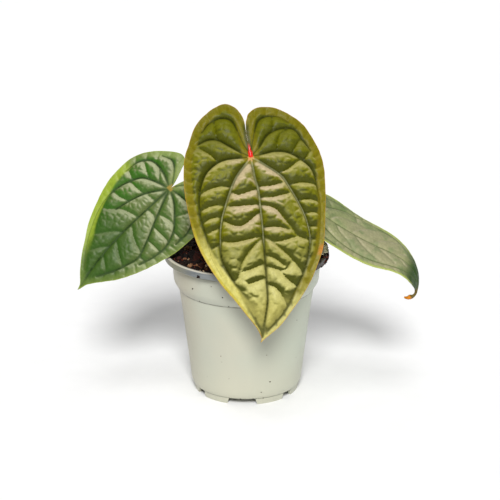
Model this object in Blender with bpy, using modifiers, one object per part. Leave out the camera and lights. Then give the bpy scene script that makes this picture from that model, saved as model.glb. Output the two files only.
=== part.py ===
# Potted anthurium: three heart-shaped, quilted leaves on bent stalks in a small round nursery pot.
# Units are metres, +Z is up, and the pot stands on z = 0 with its front towards -Y.
# Leaf outlines and veins are written in millimetres on the flat leaf: u across it, v from the
# stalk towards the tip. The leaf is then bent along its midrib and arched across.
import math
import random

import bmesh
import bpy
import numpy as np
from mathutils import Vector, geometry, noise

MM = 0.001
GAP = 0.0003

# The origin is the middle of the whole plant's footprint, so the pot's axis stands beside it. Heights
# are measured from FOOT_DROP above the table, and only the pot's feet reach below that level.
FOOT_DROP = 0.0012
POT_AXIS = Vector((-0.0034, 0.0120, FOOT_DROP))

# Pot
RIM_RADIUS = 0.060
LIP_HEIGHT = 0.0048
LIP_WIDTH = 0.0024
POT_HEIGHT = 0.1054
WALL = 0.0013
COLLAR_TOP_RADIUS = 0.0545
COLLAR_FOOT_RADIUS = 0.0535
COLLAR_CORNER_Z = 0.0832
COLLAR_FOOT_Z = 0.0784
BODY_TOP_RADIUS = 0.0496
BODY_FOOT_RADIUS = 0.0418
CORNER_WIDTH = 0.0026
CORNER_RISE = 0.0085
FOOT_HEIGHT = 0.0035
FOOT_RADIUS = 0.0392
FOOT_WALL = 0.0022
FOOT_GAPS = [(-94.5, 0.0205), (-148.0, 0.0085), (-40.0, 0.0085), (85.5, 0.0205), (139.0, 0.0085),
             (32.0, 0.0085)]
DRAIN_RADIUS = 0.0030
DRAIN_CIRCLE = 0.0240
POT_STEPS = 48

# Soil and what grows out of it
SOIL_EDGE_Z = 0.1036
SOIL_CROWN = 0.0030
SOIL_RINGS = 11
SOIL_SIDES = 40
SOIL_ROUGHNESS = 0.0011
SOIL_CLEARANCE = 0.0005
CHIP_COUNT = 15
STEM_RADIUS = 0.0062
STEM_FOOT_Z = 0.0820
STEM_TOP_Z = 0.1195
PETIOLE_RADIUS = 0.0019
PETIOLE_FOOT_Z = 0.0925
GENICULUM_LENGTH = 0.0150
GENICULUM_SWELL = 1.35

# Leaves
BLADE_THICKNESS = 0.0010
LEAF_SPACING = 3.9
LEAF_CLOSENESS = 0.66

FRONT_LEAF = {
    "name": "leaf_front",
    "attach": (3.3, -30.0, 183.2), "heading": -86.0, "dip": 54.0, "droop": 0.170,
    "hook": 0.0, "hook_from": 0.0, "curl": 0.0, "curl_from": 0.0, "roll": 0.0, "arch": 0.0055,
    "relief": 3.9, "relief_width": 4.2, "cross_depth": 0.50, "edge_fade": 7.0, "wave": 0.5,
    "left": [(-1, -4), (-2.4, -8), (-3.6, -14), (-4.2, -20), (-3.6, -27), (-6, -33), (-10, -38), (-16, -41),
             (-23, -39), (-30, -34), (-36, -28), (-40, -21), (-43, -12), (-46, -3), (-47, 7), (-47, 19),
             (-46, 30), (-44, 42), (-41, 55), (-36, 68), (-30, 79), (-23, 90), (-14, 101), (-7, 110),
             (0, 119), (3.4, 126)],
    "tip": (3, 130),
    "right": [(1.2, -3), (0, -7), (-2.2, -14), (-2.8, -20), (-2.2, -27), (0, -33), (5, -37), (12, -38),
              (20, -37), (30, -32), (38, -26), (44, -17), (49, -6), (51.5, 6), (52, 18), (52, 30), (51, 43),
              (50, 54), (48, 66), (44, 77), (39, 88), (32, 99), (25, 108), (17, 118), (10, 124), (6, 127)],
    "main_veins": [
        [(0, 0), (2, 16), (4, 24), (5, 36), (6, 50), (7, 71), (8, 93), (8, 103), (6, 115), (4, 127)],
        [(0, 0), (-4, 6), (-10, 14), (-14, 22), (-19, 36), (-22, 47), (-23, 60), (-22, 74), (-15, 88),
         (-9, 100), (-2, 112), (3, 121)],
        [(0, 0), (10, 7), (20, 14), (25, 21), (34, 38), (38, 50), (39, 62), (35, 80), (29, 93), (20, 109),
         (8, 122)],
        [(0, 0), (-9, 1), (-18, 2), (-25, 5), (-32, 12), (-36, 23), (-37, 34), (-36, 45), (-33, 56),
         (-29, 72), (-23, 84)],
        [(0, 0), (9, -2), (18, -4), (27, -3), (36, 2), (43, 9), (46, 20), (48, 34), (47, 50), (44, 68),
         (38, 82)],
        [(0, 0), (-8, -4), (-16, -9), (-22, -13), (-29, -14), (-37, -11)],
        [(-1, -3), (-5, -10), (-9, -21), (-13, -28), (-20, -30), (-28, -27), (-34, -20)],
        [(0, 0), (6, -7), (11, -15), (16, -19), (24, -22), (32, -21), (37, -14), (43, -6)],
        [(0, -3), (2, -13), (4, -22), (7, -28), (13, -31), (21, -31), (28, -27)],
    ],
    "cross_veins": [
        [(-36, -8), (-32, -5), (-28, -2), (-24, 2)], [(-25, -29), (-24, -22), (-23, -14)],
        [(16, -31), (16, -20)], [(27, -22), (20, -14), (18, -4)], [(36, -15), (29, -3)], [(43, -6), (37, 2)],
        [(19, 12), (26, 9), (34, 2)], [(25, 21), (35, 19), (46, 20)], [(31, 32), (38, 31), (47, 32)],
        [(36, 41), (42, 40), (47, 41)], [(39, 50), (47, 50)], [(39, 59), (46, 59)], [(37, 72), (43, 71)],
        [(-14, 22), (-25, 22), (-36, 26)], [(-19, 35), (-27, 35), (-36, 38)],
        [(-22, 43), (-29, 44), (-35, 47)],
        [(-22, 50), (-31, 54)], [(-23, 62), (-31, 66)], [(-21, 77), (-26, 80)],
        [(3, 24), (-9, 28), (-14, 26)], [(5, 35), (-9, 36), (-16, 36)], [(5, 40), (-9, 50), (-22, 45)],
        [(6, 58), (-2, 66), (-8, 75), (-11, 85), (-15, 88)], [(6, 57), (-13, 61), (-22, 60)],
        [(7, 76), (-3, 80), (-9, 82)], [(7, 86), (-4, 90)],
        [(4, 22), (12, 22), (20, 20)], [(5, 30), (14, 30), (25, 27)],
        [(5, 35), (15, 38), (21, 45), (25, 50), (30, 57), (39, 60)], [(7, 51), (17, 51), (24, 53)],
        [(6, 57), (15, 61), (29, 58)], [(6, 57), (13, 62), (20, 68), (26, 74), (33, 83)],
        [(26, 74), (20, 81), (8, 78)], [(8, 90), (14, 93), (19, 100), (22, 106)],
        [(17, 82), (23, 88), (29, 92)], [(7, 70), (14, 73), (20, 78)],
    ],
}

LEFT_LEAF = {
    "name": "leaf_left",
    "attach": (-55.2, 0.0, 152.1), "heading": -159.0, "dip": 38.0, "droop": 0.110,
    "hook": 0.0, "hook_from": 0.0, "curl": 0.0, "curl_from": 0.0, "roll": -50.0, "arch": 0.0045,
    "relief": 2.3, "relief_width": 3.4, "cross_depth": 0.50, "edge_fade": 6.0, "wave": 0.7,
    "left": [(-0.8, -4), (-2.4, -9), (-5, -15), (-8, -21), (-13, -23), (-19, -20), (-25, -15), (-30, -10),
             (-35, -3), (-38, 6), (-38, 17), (-37, 28), (-34, 39), (-30, 49), (-25, 59), (-19, 68),
             (-13, 78), (-6, 88), (-1, 94)],
    "tip": (1, 99),
    "right": [(0.8, -4), (2.4, -10), (5, -16), (9, -22), (15, -24), (22, -21), (29, -14), (35, -4), (38, 7),
              (38, 18), (37, 30), (34, 42), (30, 54), (25, 65), (19, 75), (11, 84), (4, 92)],
    "main_veins": [
        [(0, 0), (0, 20), (-1, 47), (-1, 67), (0, 86), (1, 96)],
        [(0, 0), (-8, 3), (-15, 6), (-21, 10), (-26, 20), (-29, 33), (-27, 46), (-21, 60), (-14, 72),
         (-5, 85)],
        [(0, 0), (-5, 8), (-10, 16), (-14, 27), (-17, 38)],
        [(0, 0), (-11, -4), (-20, -5), (-27, -3), (-32, 4), (-33, 14)],
        [(-0.5, -2), (-5, -8), (-10, -13), (-16, -15), (-23, -12)],
        [(0, 0), (6, 14), (11, 26), (16, 38), (20, 52), (17, 63), (13, 72), (6, 83)],
        [(0, 0), (10, 5), (18, 12), (25, 20), (29, 32), (28, 44), (24, 56)],
        [(0, 0), (11, -2), (21, -2), (29, 4), (33, 14), (33, 26)],
        [(0.5, -2), (5, -9), (11, -15), (18, -16), (26, -9)],
    ],
    "cross_veins": [
        [(0, 31), (-8, 33), (-16, 36)], [(-1, 46), (-8, 52), (-14, 59), (-19, 63)],
        [(-1, 60), (-8, 68), (-12, 74)],
        [(0, 38), (8, 44), (18, 48)], [(0, 54), (8, 60), (16, 65)], [(0, 68), (6, 73), (10, 77)],
        [(-10, 16), (-18, 17), (-25, 17)], [(-14, 27), (-22, 30), (-29, 30)], [(-17, 38), (-23, 43)],
        [(-8, 3), (-14, -2), (-16, -5)], [(-15, 6), (-23, 3), (-29, 0)], [(-24, 15), (-32, 12)],
        [(-29, 33), (-36, 31)], [(-28, 44), (-33, 42)], [(8, 19), (15, 17), (22, 16)],
        [(12, 28), (20, 28), (28, 28)],
        [(16, 38), (22, 38), (29, 38)], [(20, 51), (26, 51)], [(18, 12), (22, 5), (24, 0)],
        [(25, 20), (33, 20)], [(29, 34), (35, 35)], [(0, 14), (-7, 15)], [(0, 22), (5, 22), (10, 23)],
    ],
}

RIGHT_LEAF = {
    "name": "leaf_right",
    "attach": (50.0, 0.0, 135.4), "heading": -4.0, "dip": 34.0, "droop": -0.185,
    "hook": 0.0320, "hook_from": 50.0, "curl": 0.45, "curl_from": 99.5, "roll": 13.0, "arch": 0.0030,
    "relief": 1.6, "relief_width": 3.2, "cross_depth": 0.5, "edge_fade": 5.0, "wave": 0.9,
    "left": [(-0.8, -4), (-3, -10), (-6, -16), (-11, -20), (-17, -19), (-23, -13), (-27, -5), (-29, 6),
             (-30, 18), (-30, 30), (-29, 42), (-28, 54), (-25, 66), (-21, 78), (-16, 88), (-9, 96),
             (-4, 100), (-1.7, 104), (-1.4, 109)],
    "tip": (0, 113),
    "right": [(0.8, -4), (3, -10), (6, -16), (12, -20), (19, -18), (26, -11), (31, -2), (34, 9), (35, 20),
              (34, 32), (31, 44), (27, 56), (23, 68), (19, 79), (15, 88), (9, 96), (4, 100), (1.7, 104),
              (1.4, 109)],
    "main_veins": [
        [(0, 0), (-1, 20), (-2, 40), (-2, 60), (-1, 80), (0, 100)],
        [(0, 0), (-8, 4), (-15, 12), (-21, 24), (-23, 38), (-22, 54), (-18, 68), (-12, 81), (-4, 93)],
        [(0, 0), (10, 4), (18, 12), (25, 24), (26, 38), (24, 54), (19, 69), (12, 82), (4, 93)],
        [(0, 0), (-10, -2), (-19, 1), (-25, 10), (-27, 22)],
        [(0, 0), (11, -2), (22, 1), (29, 10), (31, 22)],
        [(-0.5, -2), (-5, -9), (-12, -13), (-20, -9)],
        [(0.5, -2), (6, -9), (13, -13), (22, -8)],
    ],
    "cross_veins": [
        [(-1, 18), (-9, 22), (-15, 30), (-22, 36)], [(-2, 34), (-10, 40), (-17, 50), (-20, 58)],
        [(-2, 52), (-8, 58), (-14, 68)], [(-2, 68), (-8, 76)], [(-1, 12), (8, 16), (14, 26), (16, 40)],
        [(-2, 30), (8, 36), (18, 46), (22, 58)], [(-2, 48), (7, 54), (15, 66)], [(-1, 66), (6, 74)],
        [(16, 34), (25, 32)], [(-15, 30), (-21, 25)], [(18, 12), (25, 8)], [(-15, 12), (-22, 8)],
    ],
}

# Every petiole leaves the stem's side and ends under its leaf. Points are millimetres from the pot's axis.
PETIOLES = {
    "petiole_front": {"leaf": FRONT_LEAF, "side": -90.0,
                      "through": [(0.5, -10, 118), (1.5, -10, 145), (2.8, -16, 167)], "arrive": 9.0},
    "petiole_left": {"leaf": LEFT_LEAF, "side": 160.0,
                     "through": [(-14, 5, 116), (-28, 9, 134), (-44, 12, 144)], "arrive": 8.0},
    "petiole_right": {"leaf": RIGHT_LEAF, "side": 25.0,
                      "through": [(13, 5, 115), (26, 7, 121), (39, 6, 126)], "arrive": 6.0},
}

# Clump of moss and grit on the right of the rim
CLUMP_CENTRE = (0.0505, -0.0080, 0.1085)
CLUMP_BED = (0.012, 0.017)
CLUMP_SIZE = (0.0085, 0.0090, 0.0105)

COLOURS = {
    "pot": ((0.62, 0.64, 0.55), 0.45),
    "soil": ((0.055, 0.030, 0.018), 0.95),
    "stem": ((0.20, 0.17, 0.07), 0.75),
    "petiole_front": ((0.30, 0.14, 0.05), 0.45),
    "petiole_left": ((0.20, 0.27, 0.07), 0.45),
    "petiole_right": ((0.20, 0.27, 0.07), 0.45),
    "leaf_front": ((0.17, 0.17, 0.03), 0.35),
    "leaf_left": ((0.07, 0.15, 0.04), 0.40),
    "leaf_right": ((0.20, 0.25, 0.13), 0.40),
    "moss_clump": ((0.30, 0.28, 0.20), 0.95),
}


def clear_scene():
    for obj in list(bpy.data.objects):
        bpy.data.objects.remove(obj, do_unlink=True)


def new_collection(name):
    collection = bpy.data.collections.new(name)
    bpy.context.scene.collection.children.link(collection)
    return collection


def give_material(obj):
    colour, roughness = COLOURS[obj.name]
    material = bpy.data.materials.new(obj.name)
    material.use_nodes = True
    shader = material.node_tree.nodes["Principled BSDF"]
    shader.inputs["Base Color"].default_value = (*colour, 1.0)
    shader.inputs["Roughness"].default_value = roughness
    shader.inputs["Metallic"].default_value = 0.0
    material.diffuse_color = (*colour, 1.0)
    obj.data.materials.clear()
    obj.data.materials.append(material)


def add_object(name, data, collection):
    obj = bpy.data.objects.new(name, data)
    obj.location = POT_AXIS
    collection.objects.link(obj)
    return obj


def mesh_from_bmesh(name, bm):
    mesh = bpy.data.meshes.new(name)
    bm.to_mesh(mesh)
    bm.free()
    return mesh


def smooth_line(points, spacing):
    """Points at an even spacing along a smooth curve through the given points, ends kept."""
    pts = np.array(points, float)
    padded = np.vstack([2 * pts[0] - pts[1], pts, 2 * pts[-1] - pts[-2]])
    fine = []
    for i in range(1, len(padded) - 2):
        a, b, c, d = padded[i - 1:i + 3]
        for t in np.linspace(0.0, 1.0, 12, endpoint=False):
            fine.append(0.5 * (2 * b + (c - a) * t + (2 * a - 5 * b + 4 * c - d) * t * t
                               + (3 * b - a - 3 * c + d) * t ** 3))
    fine.append(pts[-1])
    fine = np.array(fine)
    run = np.concatenate([[0.0], np.cumsum(np.linalg.norm(np.diff(fine, axis=0), axis=1))])
    count = max(2, int(round(run[-1] / spacing)) + 1)
    at = np.linspace(0.0, run[-1], count)
    return np.stack([np.interp(at, run, fine[:, k]) for k in range(fine.shape[1])], -1)


def distance_to_lines(points, lines):
    """Distance of each point to the nearest of the polylines."""
    best = np.full(len(points), 1e9)
    for line in lines:
        for a, b in zip(line[:-1], line[1:]):
            ab = b - a
            t = np.clip(((points - a) @ ab) / max(ab @ ab, 1e-12), 0.0, 1.0)
            best = np.minimum(best, np.linalg.norm(points - (a + t[:, None] * ab), axis=1))
    return best


def leaf_outline(leaf, spacing):
    """The closed outline from the notch round the left side, the tip and the right side."""
    left = smooth_line([(0, 0)] + leaf["left"] + [leaf["tip"]], spacing)
    right = smooth_line([(0, 0)] + leaf["right"] + [leaf["tip"]], spacing)
    return np.vstack([left, right[-2:0:-1]])


def pleats(leaf, outline):
    """Short folds that run in from the margin, at an even pitch, in the band outside the veins."""
    folds = []
    centre = np.array([0.0, 35.0])
    pitch, depth, first = 3, 6.0, 9
    for i in range(first, len(outline) - first, pitch):
        inward = centre - outline[i]
        inward /= np.linalg.norm(inward)
        folds.append(np.array([outline[i] + inward * 1.5, outline[i] + inward * depth]))
    return folds


def leaf_relief(leaf, points, spacing):
    """Height of the quilted surface over the flat leaf: sunken veins with swellings between them."""
    outline = leaf_outline(leaf, spacing)
    closed = np.vstack([outline, outline[:1]])
    main = [smooth_line(line, 2.0) for line in leaf["main_veins"]]
    cross = [smooth_line(line, 2.0) for line in leaf["cross_veins"]] + pleats(leaf, leaf_outline(leaf, 3.0))
    width = leaf["relief_width"]
    from_main = 1.0 - np.exp(-distance_to_lines(points, main) / width)
    from_cross = 1.0 - np.exp(-distance_to_lines(points, cross) / (0.7 * width))
    edge = distance_to_lines(points, [closed])
    fade = 1.0 - np.exp(-(edge / leaf["edge_fade"]) ** 2)
    keep = 1.0 - leaf["cross_depth"]
    height = leaf["relief"] * from_main * (keep + (1.0 - keep) * from_cross) * (0.25 + 0.75 * fade)
    wave = leaf["wave"] * np.sin(points[:, 1] / 8.5 + 0.6 * np.sign(points[:, 0])) * np.exp(-edge / 6.0)
    return height + wave


def leaf_path(leaf):
    """The midrib's run in its upright plane: distance out, height and slope for each v."""
    v = np.arange(-60.0, 140.0, 1.0)
    hook = leaf["hook"] * np.maximum(v - leaf["hook_from"], 0.0) ** 2
    curl = leaf["curl"] * np.maximum(v - leaf["curl_from"], 0.0) ** 2
    slope = np.radians(leaf["dip"] + leaf["droop"] * v + hook + curl)
    out = np.concatenate([[0.0], np.cumsum(np.cos(slope))[:-1]])
    drop = np.concatenate([[0.0], np.cumsum(np.sin(slope))[:-1]])
    at_zero = int(np.argmin(np.abs(v)))
    return v, out - out[at_zero], drop - drop[at_zero], slope


def bend_leaf(leaf, points, height):
    """Positions in metres, from the pot's axis, of points of the flat leaf raised by height."""
    v, out, drop, slope = leaf_path(leaf)
    heading, roll = math.radians(leaf["heading"]), math.radians(leaf["roll"])
    ahead = np.array([math.cos(heading), math.sin(heading), 0.0])
    up = np.array([0.0, 0.0, 1.0])
    s = np.interp(points[:, 1], v, out)[:, None]
    z = np.interp(points[:, 1], v, drop)[:, None]
    dip = np.interp(points[:, 1], v, slope)[:, None]
    middle = np.array(leaf["attach"]) + ahead * s - up * z
    along = ahead * np.cos(dip) - up * np.sin(dip)
    normal = ahead * np.sin(dip) + up * np.cos(dip)
    across = np.cross(normal, along)
    side = across * math.cos(roll) + normal * math.sin(roll)
    face = normal * math.cos(roll) - across * math.sin(roll)
    arch = leaf["arch"]
    radius = 1.0 / arch + height[:, None]
    turn = (arch * points[:, 0])[:, None]
    return (middle + side * radius * np.sin(turn) + face * (radius * np.cos(turn) - 1.0 / arch)) * MM


def inside(points, outline):
    """Which points lie inside the closed outline."""
    x, y = points[:, 0], points[:, 1]
    result = np.zeros(len(points), bool)
    for (x0, y0), (x1, y1) in zip(outline, np.roll(outline, -1, axis=0)):
        spans = (y0 > y) != (y1 > y)
        if y0 != y1:
            result ^= spans & (x < (x1 - x0) * (y - y0) / (y1 - y0) + x0)
    return result


def spread_points(leaf, spacing):
    """Outline points, then points along the veins, then a staggered grid, none too close together."""
    outline = leaf_outline(leaf, spacing)
    chosen = [tuple(p) for p in outline]
    apart = LEAF_CLOSENESS * spacing
    veins = [smooth_line(line, spacing) for line in leaf["main_veins"] + leaf["cross_veins"]]
    rows = []
    low, high = outline.min(axis=0), outline.max(axis=0)
    row_pitch = spacing * math.sqrt(3.0) / 2.0
    for j in range(int((high[1] - low[1]) / row_pitch) + 1):
        for i in range(int((high[0] - low[0]) / spacing) + 1):
            rows.append((low[0] + (i + 0.5 * (j % 2)) * spacing, low[1] + j * row_pitch))
    candidates = np.vstack(veins + [np.array(rows)])
    closed = np.vstack([outline, outline[:1]])
    well_in = inside(candidates, outline) & (distance_to_lines(candidates, [closed]) > apart)
    cells = {}
    for p in candidates[well_in]:
        key = (int(p[0] // apart), int(p[1] // apart))
        around = [(key[0] + dx, key[1] + dy) for dx in (-1, 0, 1) for dy in (-1, 0, 1)]
        near = [q for cell in around for q in cells.get(cell, [])]
        if all((p[0] - q[0]) ** 2 + (p[1] - q[1]) ** 2 >= apart ** 2 for q in near):
            cells.setdefault(key, []).append(tuple(p))
            chosen.append(tuple(p))
    return chosen, len(outline)


def make_leaf(leaf, collection):
    """One blade: a bent, quilted sheet of triangles made solid to an even thickness."""
    points, rim = spread_points(leaf, LEAF_SPACING)
    edges = [(i, (i + 1) % rim) for i in range(rim)]
    flat, _, triangles = geometry.delaunay_2d_cdt([Vector(p) for p in points], edges, [], 1, 1e-6)[:3]
    flat = np.array([tuple(p) for p in flat])
    placed = bend_leaf(leaf, flat, leaf_relief(leaf, flat, LEAF_SPACING))
    mesh = bpy.data.meshes.new(leaf["name"])
    mesh.from_pydata([tuple(p) for p in placed], [], [tuple(reversed(t)) for t in triangles])
    obj = add_object(leaf["name"], mesh, collection)
    solid = obj.modifiers.new("thickness", "SOLIDIFY")
    solid.thickness = BLADE_THICKNESS
    solid.offset = -1.0
    give_material(obj)
    return obj


def screw(obj, steps):
    turn = obj.modifiers.new("turn", "SCREW")
    turn.steps = steps
    turn.render_steps = steps
    turn.use_merge_vertices = True
    turn.merge_threshold = 0.00005
    return turn


def profile_mesh(name, points):
    """An open line of (radius, height) points at +X, for a Screw modifier."""
    bm = bmesh.new()
    verts = [bm.verts.new((r, 0.0, z)) for r, z in points]
    for a, b in zip(verts[:-1], verts[1:]):
        bm.edges.new((a, b))
    return mesh_from_bmesh(name, bm)


def arc(centre, radius, start, end, count):
    """Points on an arc in the (radius, height) plane, angles in degrees."""
    angles = [math.radians(start + (end - start) * i / (count - 1)) for i in range(count)]
    return [(centre[0] + radius * math.cos(a), centre[1] + radius * math.sin(a)) for a in angles]


def wall_bends():
    """Height and inner radius at each bend of the pot's wall, from above the floor's corner up."""
    lip_foot = POT_HEIGHT - LIP_HEIGHT
    lip_inside = RIM_RADIUS - LIP_WIDTH
    return [(FOOT_HEIGHT + CORNER_RISE, BODY_FOOT_RADIUS - WALL), (COLLAR_FOOT_Z, BODY_TOP_RADIUS - WALL),
            (COLLAR_CORNER_Z, COLLAR_FOOT_RADIUS - WALL), (lip_foot + 0.0006, COLLAR_TOP_RADIUS - WALL),
            (lip_foot + 0.0018, lip_inside - 0.0004), (POT_HEIGHT - 0.0010, lip_inside)]


def inner_radius(z):
    """Radius of the pot's inner wall at height z."""
    heights, radii = zip(*wall_bends())
    return float(np.interp(z, heights, radii))


def pot_profile():
    """From the lip's top down the outside, under the foot ring, and up the inside."""
    lip_foot = POT_HEIGHT - LIP_HEIGHT
    round_edge = 0.0012
    corner = (BODY_FOOT_RADIUS - CORNER_WIDTH, FOOT_HEIGHT + CORNER_RISE)
    outer = arc((RIM_RADIUS - round_edge, POT_HEIGHT - round_edge), round_edge, 90, 0, 4)
    outer += [(RIM_RADIUS, lip_foot), (COLLAR_TOP_RADIUS + 0.0004, lip_foot - 0.0004),
              (COLLAR_FOOT_RADIUS, COLLAR_CORNER_Z), (BODY_TOP_RADIUS, COLLAR_FOOT_Z)]
    outer += [(corner[0] + CORNER_WIDTH * math.cos(math.radians(turn)),
               corner[1] - CORNER_RISE * math.sin(math.radians(turn))) for turn in (4, 24, 43, 63, 82)]
    outer += [(FOOT_RADIUS, FOOT_HEIGHT - 0.0002), (FOOT_RADIUS - 0.0004, -FOOT_DROP),
              (FOOT_RADIUS - FOOT_WALL, -FOOT_DROP),
              (FOOT_RADIUS - FOOT_WALL, FOOT_HEIGHT - 0.0004), (0.0, FOOT_HEIGHT - 0.0004)]
    floor = FOOT_HEIGHT + 0.0014
    inner = [(0.0, floor), (corner[0], floor), (corner[0] + 0.7 * (CORNER_WIDTH - WALL), floor + 0.0012)]
    inner += [(radius, z) for z, radius in wall_bends()]
    inner += [(RIM_RADIUS - LIP_WIDTH + 0.0006, POT_HEIGHT)]
    return outer + inner


def make_pot(collection, cutters):
    points = pot_profile()
    obj = add_object("pot", profile_mesh("pot", points + points[:1]), collection)
    screw(obj, POT_STEPS)
    for i, (turn, width) in enumerate(FOOT_GAPS):
        angle = math.radians(turn)
        gap = box_cutter(f"foot_gap_{i}", (0.0080, width, 0.0060), cutters)
        gap.location = POT_AXIS + Vector((FOOT_RADIUS * math.cos(angle), FOOT_RADIUS * math.sin(angle),
                                          FOOT_HEIGHT - 0.0002 - 0.0030))
        gap.rotation_euler = (0.0, 0.0, angle)
        cut(obj, gap)
        drain = rod_cutter(f"drain_{i}", DRAIN_RADIUS, 0.020, cutters)
        turn = math.radians(FOOT_GAPS[0][0]) + (i + 0.5) * 2.0 * math.pi / len(FOOT_GAPS)
        drain.location = POT_AXIS + Vector((DRAIN_CIRCLE * math.cos(turn), DRAIN_CIRCLE * math.sin(turn),
                                            FOOT_HEIGHT))
        cut(obj, drain)
    give_material(obj)
    return obj


def as_cutter(obj, collection):
    collection.objects.link(obj)
    obj.hide_render = True
    obj.display_type = "WIRE"
    return obj


def box_cutter(name, size, collection):
    bm = bmesh.new()
    bmesh.ops.create_cube(bm, size=1.0)
    bmesh.ops.scale(bm, vec=size, verts=bm.verts)
    return as_cutter(bpy.data.objects.new(name, mesh_from_bmesh(name, bm)), collection)


def rod_cutter(name, radius, length, collection, sides=16):
    bm = bmesh.new()
    bmesh.ops.create_cone(bm, cap_ends=True, segments=sides, radius1=radius, radius2=radius, depth=length)
    return as_cutter(bpy.data.objects.new(name, mesh_from_bmesh(name, bm)), collection)


def cut(obj, cutter):
    boolean = obj.modifiers.new(cutter.name, "BOOLEAN")
    boolean.operation = "DIFFERENCE"
    boolean.solver = "EXACT"
    boolean.object = cutter


def soil_height(x, y):
    """Height of the lumpy soil over the point: a low crown with grains of two sizes."""
    r = math.hypot(x, y)
    edge = inner_radius(SOIL_EDGE_Z)
    crown = SOIL_CROWN * (1.0 - (r / edge) ** 2)
    coarse = noise.noise(Vector((x, y, 0.0)) * 110.0)
    fine = noise.noise(Vector((x, y, 0.02)) * 330.0)
    from_clump = math.hypot(x - CLUMP_CENTRE[0], y - CLUMP_CENTRE[1])
    loose = min(1.0, max(0.0, (from_clump - CLUMP_BED[0]) / (CLUMP_BED[1] - CLUMP_BED[0])))
    rough = SOIL_ROUGHNESS * (0.25 + 0.75 * min(1.0, max(0.0, (edge - r) / 0.008)))
    return SOIL_EDGE_Z + loose * (crown + rough * (1.3 * coarse + 0.9 * fine))


def make_soil(collection, cutters):
    """Potting mix that fills the pot to just under the lip, with bark chips and holes for the stalks."""
    bm = bmesh.new()
    floor = FOOT_HEIGHT + 0.0014 + GAP
    edge = inner_radius(SOIL_EDGE_Z) - SOIL_CLEARANCE
    rings = []
    for k in range(1, SOIL_RINGS + 1):
        ring = []
        for i in range(SOIL_SIDES):
            angle = 2.0 * math.pi * (i + 0.5 * (k % 2)) / SOIL_SIDES
            x, y = edge * k / SOIL_RINGS * math.cos(angle), edge * k / SOIL_RINGS * math.sin(angle)
            z = soil_height(x, y)
            fit = min(1.0, (inner_radius(z) - SOIL_CLEARANCE) / math.hypot(x, y))
            ring.append(bm.verts.new((x * fit, y * fit, z)))
        rings.append(ring)
    below = [(radius - SOIL_CLEARANCE, z + 0.8 * SOIL_CLEARANCE) for z, radius in wall_bends()[4:0:-1]]
    below += [(inner_radius(0.0150) - 2.0 * SOIL_CLEARANCE, 0.0150),
              (BODY_FOOT_RADIUS - CORNER_WIDTH - 0.0010, floor)]
    for radius, z in below:
        rings.append([bm.verts.new((radius * math.cos(2.0 * math.pi * (i + 0.5) / SOIL_SIDES),
                                    radius * math.sin(2.0 * math.pi * (i + 0.5) / SOIL_SIDES), z))
                      for i in range(SOIL_SIDES)])
    top = bm.verts.new((0.0, 0.0, soil_height(0.0, 0.0)))
    bottom = bm.verts.new((0.0, 0.0, floor))
    for i in range(SOIL_SIDES):
        j = (i + 1) % SOIL_SIDES
        bm.faces.new((top, rings[0][i], rings[0][j]))
        bm.faces.new((bottom, rings[-1][j], rings[-1][i]))
        for k, (upper, lower) in enumerate(zip(rings[:-1], rings[1:])):
            bm.faces.new((upper[j], upper[i], lower[i], lower[j]))
    bmesh.ops.triangulate(bm, faces=bm.faces)
    obj = add_object("soil", mesh_from_bmesh("soil", bm), collection)
    chips = new_collection("bark chips")
    rng = random.Random(5)
    for i in range(CHIP_COUNT):
        angle = rng.uniform(0.1 * math.pi, 1.8 * math.pi)
        distance = rng.uniform(0.018, edge - 0.010)
        x, y = distance * math.cos(angle), distance * math.sin(angle)
        size = (rng.uniform(0.006, 0.011), rng.uniform(0.004, 0.007), rng.uniform(0.0025, 0.0040))
        chip = box_cutter(f"chip_{i:02d}", size, chips)
        chip.location = POT_AXIS + Vector((x, y, soil_height(x, y) + 0.0002))
        chip.rotation_euler = (rng.uniform(-0.5, 0.5), rng.uniform(-0.4, 0.4), rng.uniform(0.0, 3.1))
    join = obj.modifiers.new("chips", "BOOLEAN")
    join.operation = "UNION"
    join.operand_type = "COLLECTION"
    join.collection = chips
    join.solver = "EXACT"
    stem_hole = rod_cutter("stem_hole", STEM_RADIUS + GAP, 0.060, cutters, 24)
    stem_hole.location = POT_AXIS + Vector((0.0, 0.0, STEM_FOOT_Z - GAP + 0.030))
    cut(obj, stem_hole)
    for name, petiole in PETIOLES.items():
        foot = petiole_foot(petiole)
        hole = rod_cutter(f"{name}_hole", PETIOLE_RADIUS + 2.0 * GAP, 0.040, cutters, 12)
        hole.location = POT_AXIS + Vector((foot.x, foot.y, PETIOLE_FOOT_Z - GAP + 0.020))
        cut(obj, hole)
    give_material(obj)
    return obj


def make_stem(collection):
    """The short stem, ringed by old leaf scars, with a blunt growing point."""
    points = [(0.0, STEM_TOP_Z)]
    points += [(STEM_RADIUS * 0.35, STEM_TOP_Z - 0.0006), (STEM_RADIUS * 0.72, STEM_TOP_Z - 0.0035)]
    z = STEM_TOP_Z - 0.0070
    while z > STEM_FOOT_Z + 0.0225:
        points += [(STEM_RADIUS, z), (STEM_RADIUS * 0.90, z - 0.0012), (STEM_RADIUS * 0.97, z - 0.0026)]
        z -= 0.0045
    points += [(STEM_RADIUS, STEM_FOOT_Z + 0.0180), (STEM_RADIUS * 0.8, STEM_FOOT_Z), (0.0, STEM_FOOT_Z)]
    obj = add_object("stem", profile_mesh("stem", points), collection)
    screw(obj, 20)
    give_material(obj)
    return obj


def petiole_foot(petiole):
    """Where the petiole stands in the soil, beside the stem."""
    side = math.radians(petiole["side"])
    distance = STEM_RADIUS + PETIOLE_RADIUS + 1.5 * GAP
    return Vector((distance * math.cos(side), distance * math.sin(side), PETIOLE_FOOT_Z))


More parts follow.
